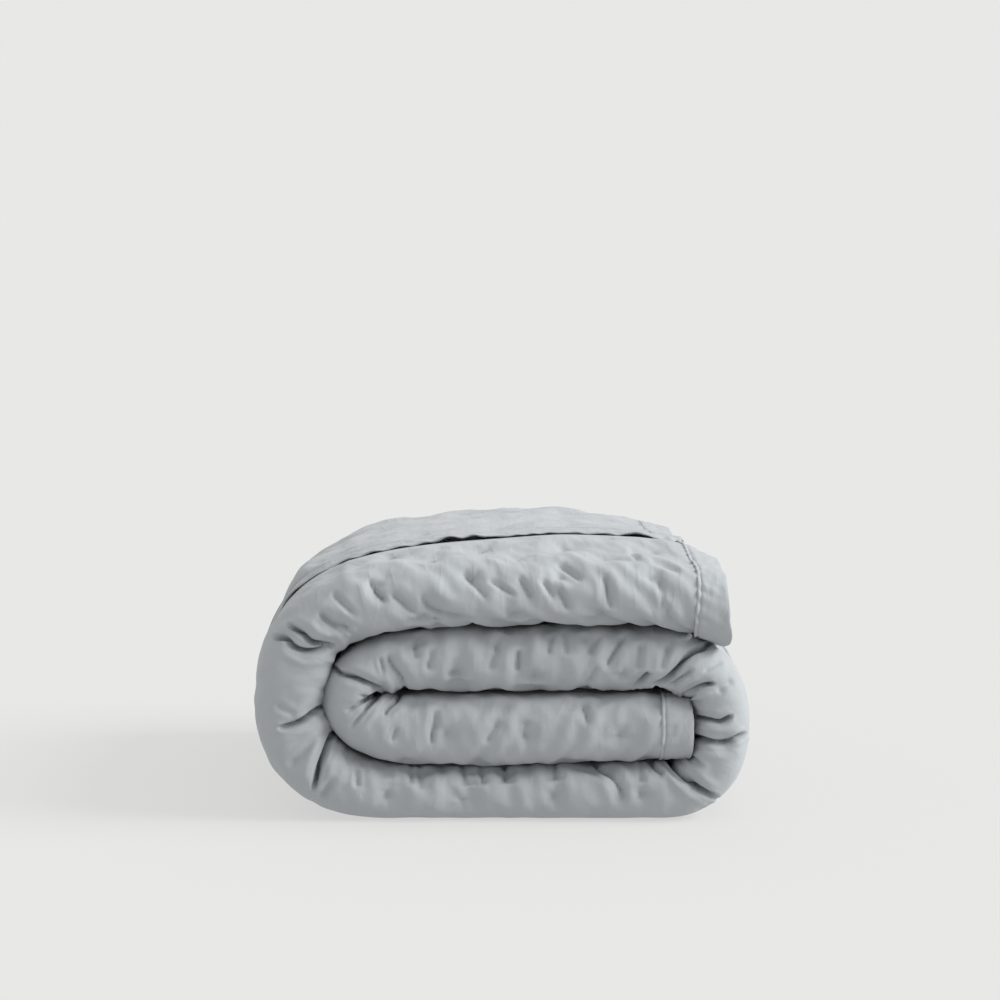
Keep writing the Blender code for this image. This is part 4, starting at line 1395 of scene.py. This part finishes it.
edge_n = section.half + section.crown + section.lap - BAND_THICK / 2 - EDGE_SINK
n = mix(seam_n, edge_n, ease(place / BINDING_WIDTH))
middle = laid(section, section.seam - SEAM_GAP - place, n, 0.0 * section.s)
normal = outward(middle, section.inside(section.front + CORE_IN))
lift = 0.0
for at, height, reach in LIFTS:
    lift = lift + height * bell((section.s - at) / reach)
corner = bell(section.s / RUFFLE_REACH)
ruffles = waves(section.s, RUFFLE_LEAN * place, RUFFLE_PITCH, RUFFLE_SEED, RUFFLE_WAVES)
lift = lift + RUFFLE * corner * ruffles
lift = lift - CORNER_DROP * bell(section.s / CORNER_DROP_REACH)
lift = lift - CORNER_CURL * corner * (place / BINDING_WIDTH) ** CURL_CURVE
ripple = uneven(section.s, RIPPLE_LEAN * place, RIPPLES) * edge_share
ripple = ripple + uneven(WRINKLE_STRETCH * section.s, place, WRINKLES)
height = LONG_FOLD_LIFT * bell(places[None, :] / LONG_FOLD_WIDTH) + lift * edge_share**LIFT_CURVE
height = height + ripple * (1.0 - ease((section.s - RIPPLED_TO) / RIPPLED_FADE)) + BAND_RISE
height = height - tightened(section.s) * ease((section.s - FLAP_DRAWN) / FLAP_DRAWN_RUN)
middle = middle + normal * height[..., None]
long_band = sheet_object("long_band", middle, np.broadcast_to(thick[None, :], middle.shape[:2]))
long_line, long_normal = middle[:, STITCH_ROW], normal[:, STITCH_ROW]
as_binding(long_band, "binding_long_edge")

# The sewing: a lock stitch beside the fold of each band, in thread of the cloth's own colour, and
# a short bar of close stitches at each tie, in the same thread.
STITCH_PITCH = 3.6
STITCH_LENGTH = 2.7
STITCH_THICK = 0.55
STITCH_RISE = 0.1
TACK_LENGTH = 5.5
TACK_THICK = 1.5
TACK_RISE = 0.3
BAR_SIDES = 6
# Rings of points along a bar: place from its middle to its end, and share of its full thickness
BAR_RINGS = ((-0.75, 0.8), (0.0, 1.0), (0.75, 0.8))
THREAD_COLOUR = (0.39, 0.41, 0.425, 1.0)
TWIST_SCALE = 2500.0
TWIST_DEPTH = 0.0001


def bars(name, at, way, up, length, thick):
    """Short rounded bars: rings of points around each bar's own line, and a point at either end.

    A ring's points are up times the sine and side times the cosine of their angle, off the line.
    """
    side = np.cross(way, up)
    rows = [at - way * length / 2]
    for t, wide in BAR_RINGS:
        for a in 2 * math.pi * np.arange(BAR_SIDES) / BAR_SIDES:
            spoke = (up * math.sin(a) + side * math.cos(a)) * (wide * thick / 2)
            rows.append(at + way * (t * length / 2) + spoke)
    rows.append(at + way * length / 2)
    points = np.stack(rows, axis=1)
    count = points.shape[1]
    k = np.arange(BAR_SIDES)
    after = (k + 1) % BAR_SIDES
    last_ring = 1 + BAR_SIDES * (len(BAR_RINGS) - 1)
    parts = [
        np.column_stack([0 * k, 1 + after, 1 + k]),
        np.column_stack([count - 1 + 0 * k, last_ring + k, last_ring + after]),
    ]
    for ring in range(1, last_ring, BAR_SIDES):
        parts.append(ring + np.column_stack([k, after, BAR_SIDES + after, BAR_SIDES + k]))
    shift = (np.arange(len(at)) * count)[:, None, None]
    faces = []
    for part in parts:
        faces += (part[None] + shift).reshape(-1, part.shape[1]).tolist()
    flat = points.reshape(-1, 3)
    flat[:, 2] = np.maximum(flat[:, 2], 0.0)
    return mesh_object(name, flat * MM, faces, flat[:, :2] * MM)


def squared(up, way):
    """The part of up that is square to way: up less its share along way, made one unit long."""
    return unit(up - way * np.sum(up * way, axis=1, keepdims=True))


def stitched(name, line, out):
    """A row of stitches along a line of points on a band, all of one pitch."""
    run = np.concatenate([[0.0], np.cumsum(np.linalg.norm(np.diff(line, axis=0), axis=1))])
    places = np.arange(STITCH_PITCH, run[-1] - STITCH_PITCH, STITCH_PITCH)
    at, up = (np.column_stack([np.interp(places, run, column) for column in rows.T]) for rows in (line, out))
    way = unit(np.column_stack([np.gradient(column, places) for column in at.T]))
    up = squared(up, way)
    return bars(name, at + up * (BAND_THICK / 2 + STITCH_RISE), way, up, STITCH_LENGTH, STITCH_THICK)


thread, nodes, links, shader = new_material(
    "thread", {"Base Color": THREAD_COLOUR, "Roughness": 0.6, "Sheen Weight": 0.2}
)
twist = nodes.new("ShaderNodeTexNoise")
twist.inputs["Scale"].default_value = TWIST_SCALE
ply = nodes.new("ShaderNodeBump")
ply.inputs["Distance"].default_value = TWIST_DEPTH
links.new(nodes.new("ShaderNodeTexCoord").outputs["Object"], twist.inputs["Vector"])
links.new(twist.outputs["Fac"], ply.inputs["Height"])
links.new(ply.outputs["Normal"], shader.inputs["Normal"])

for band, name, line, out, flat in (
    (outer_band, "outer_stitches", outer_line, outer_normal, (1.73, 0.033)),
    (inner_band, "inner_stitches", inner_line, inner_normal, (1.73, 0.033)),
    (long_band, "long_stitches", long_line, long_normal, (2.1, 0.033)),
):
    stitches = stitched(name, line, out)
    stitches.data.materials.append(thread)
    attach(stitches, "root")

tie_at, tie_way, tie_up = (np.vstack(columns) for columns in zip(*tie_places))
tie_way = squared(tie_way, tie_up)
tacks = bars("tie_tacks", tie_at + tie_up * TACK_RISE, tie_way, tie_up, TACK_LENGTH, TACK_THICK)
tacks.data.materials.append(thread)
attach(tacks, "root")

# The studio: a pale floor under an even white sky, with soft light from the right and above.
FLOOR_REACH = 60.0
FLOOR_VALUES = {
    "Base Color": (0.187, 0.187, 0.185, 1.0),
    "Roughness": 1.0,
    "Specular IOR Level": 0.0,
    "Emission Color": (1.0, 1.0, 0.991, 1.0),
    "Emission Strength": 0.554,
}
SKY_COLOUR = (0.806, 0.806, 0.799, 1.0)
KEY_STRENGTH = 3.45
KEY_SOFTNESS = 0.6
KEY_FROM = (0.87, -0.1, 0.5)
floor_corners = [(x * FLOOR_REACH, y * FLOOR_REACH, 0.0) for x, y in ((-1, -1), (1, -1), (1, 1), (-1, 1))]
floor_mesh = bpy.data.meshes.new("floor")
floor_mesh.from_pydata(floor_corners, [], [(0, 1, 2, 3)])
floor_mesh.materials.append(new_material("floor", FLOOR_VALUES)[0])
floor = bpy.data.objects.new("floor", floor_mesh)
bpy.context.scene.collection.objects.link(floor)

world = bpy.data.worlds.new("studio")
world.use_nodes = True
sky = world.node_tree.nodes["Background"]
sky.inputs["Color"].default_value = SKY_COLOUR
sky.inputs["Strength"].default_value = 1.0
bpy.context.scene.world = world

key_data = bpy.data.lights.new("key", "SUN")
key_data.energy = KEY_STRENGTH
key_data.angle = KEY_SOFTNESS
key = bpy.data.objects.new("key", key_data)
key.rotation_euler = Vector(KEY_FROM).to_track_quat("Z", "Y").to_euler()
bpy.context.scene.collection.objects.link(key)
bpy.context.scene.view_settings.view_transform = "Standard"

# The camera stands far off, a little above the roll, and looks down at it slightly.
SENSOR = 36.0
FOCAL_LENGTH = 99.936
CAMERA_TILT = 5.72
camera_data = bpy.data.cameras.new("camera")
camera_data.sensor_width = SENSOR
camera_data.lens = FOCAL_LENGTH
camera = bpy.data.objects.new("camera", camera_data)
camera.location = [value * MM for value in EYE]
camera.rotation_euler = (math.radians(90.0 - CAMERA_TILT), 0.0, 0.0)
bpy.context.scene.collection.objects.link(camera)
bpy.context.scene.camera = camera
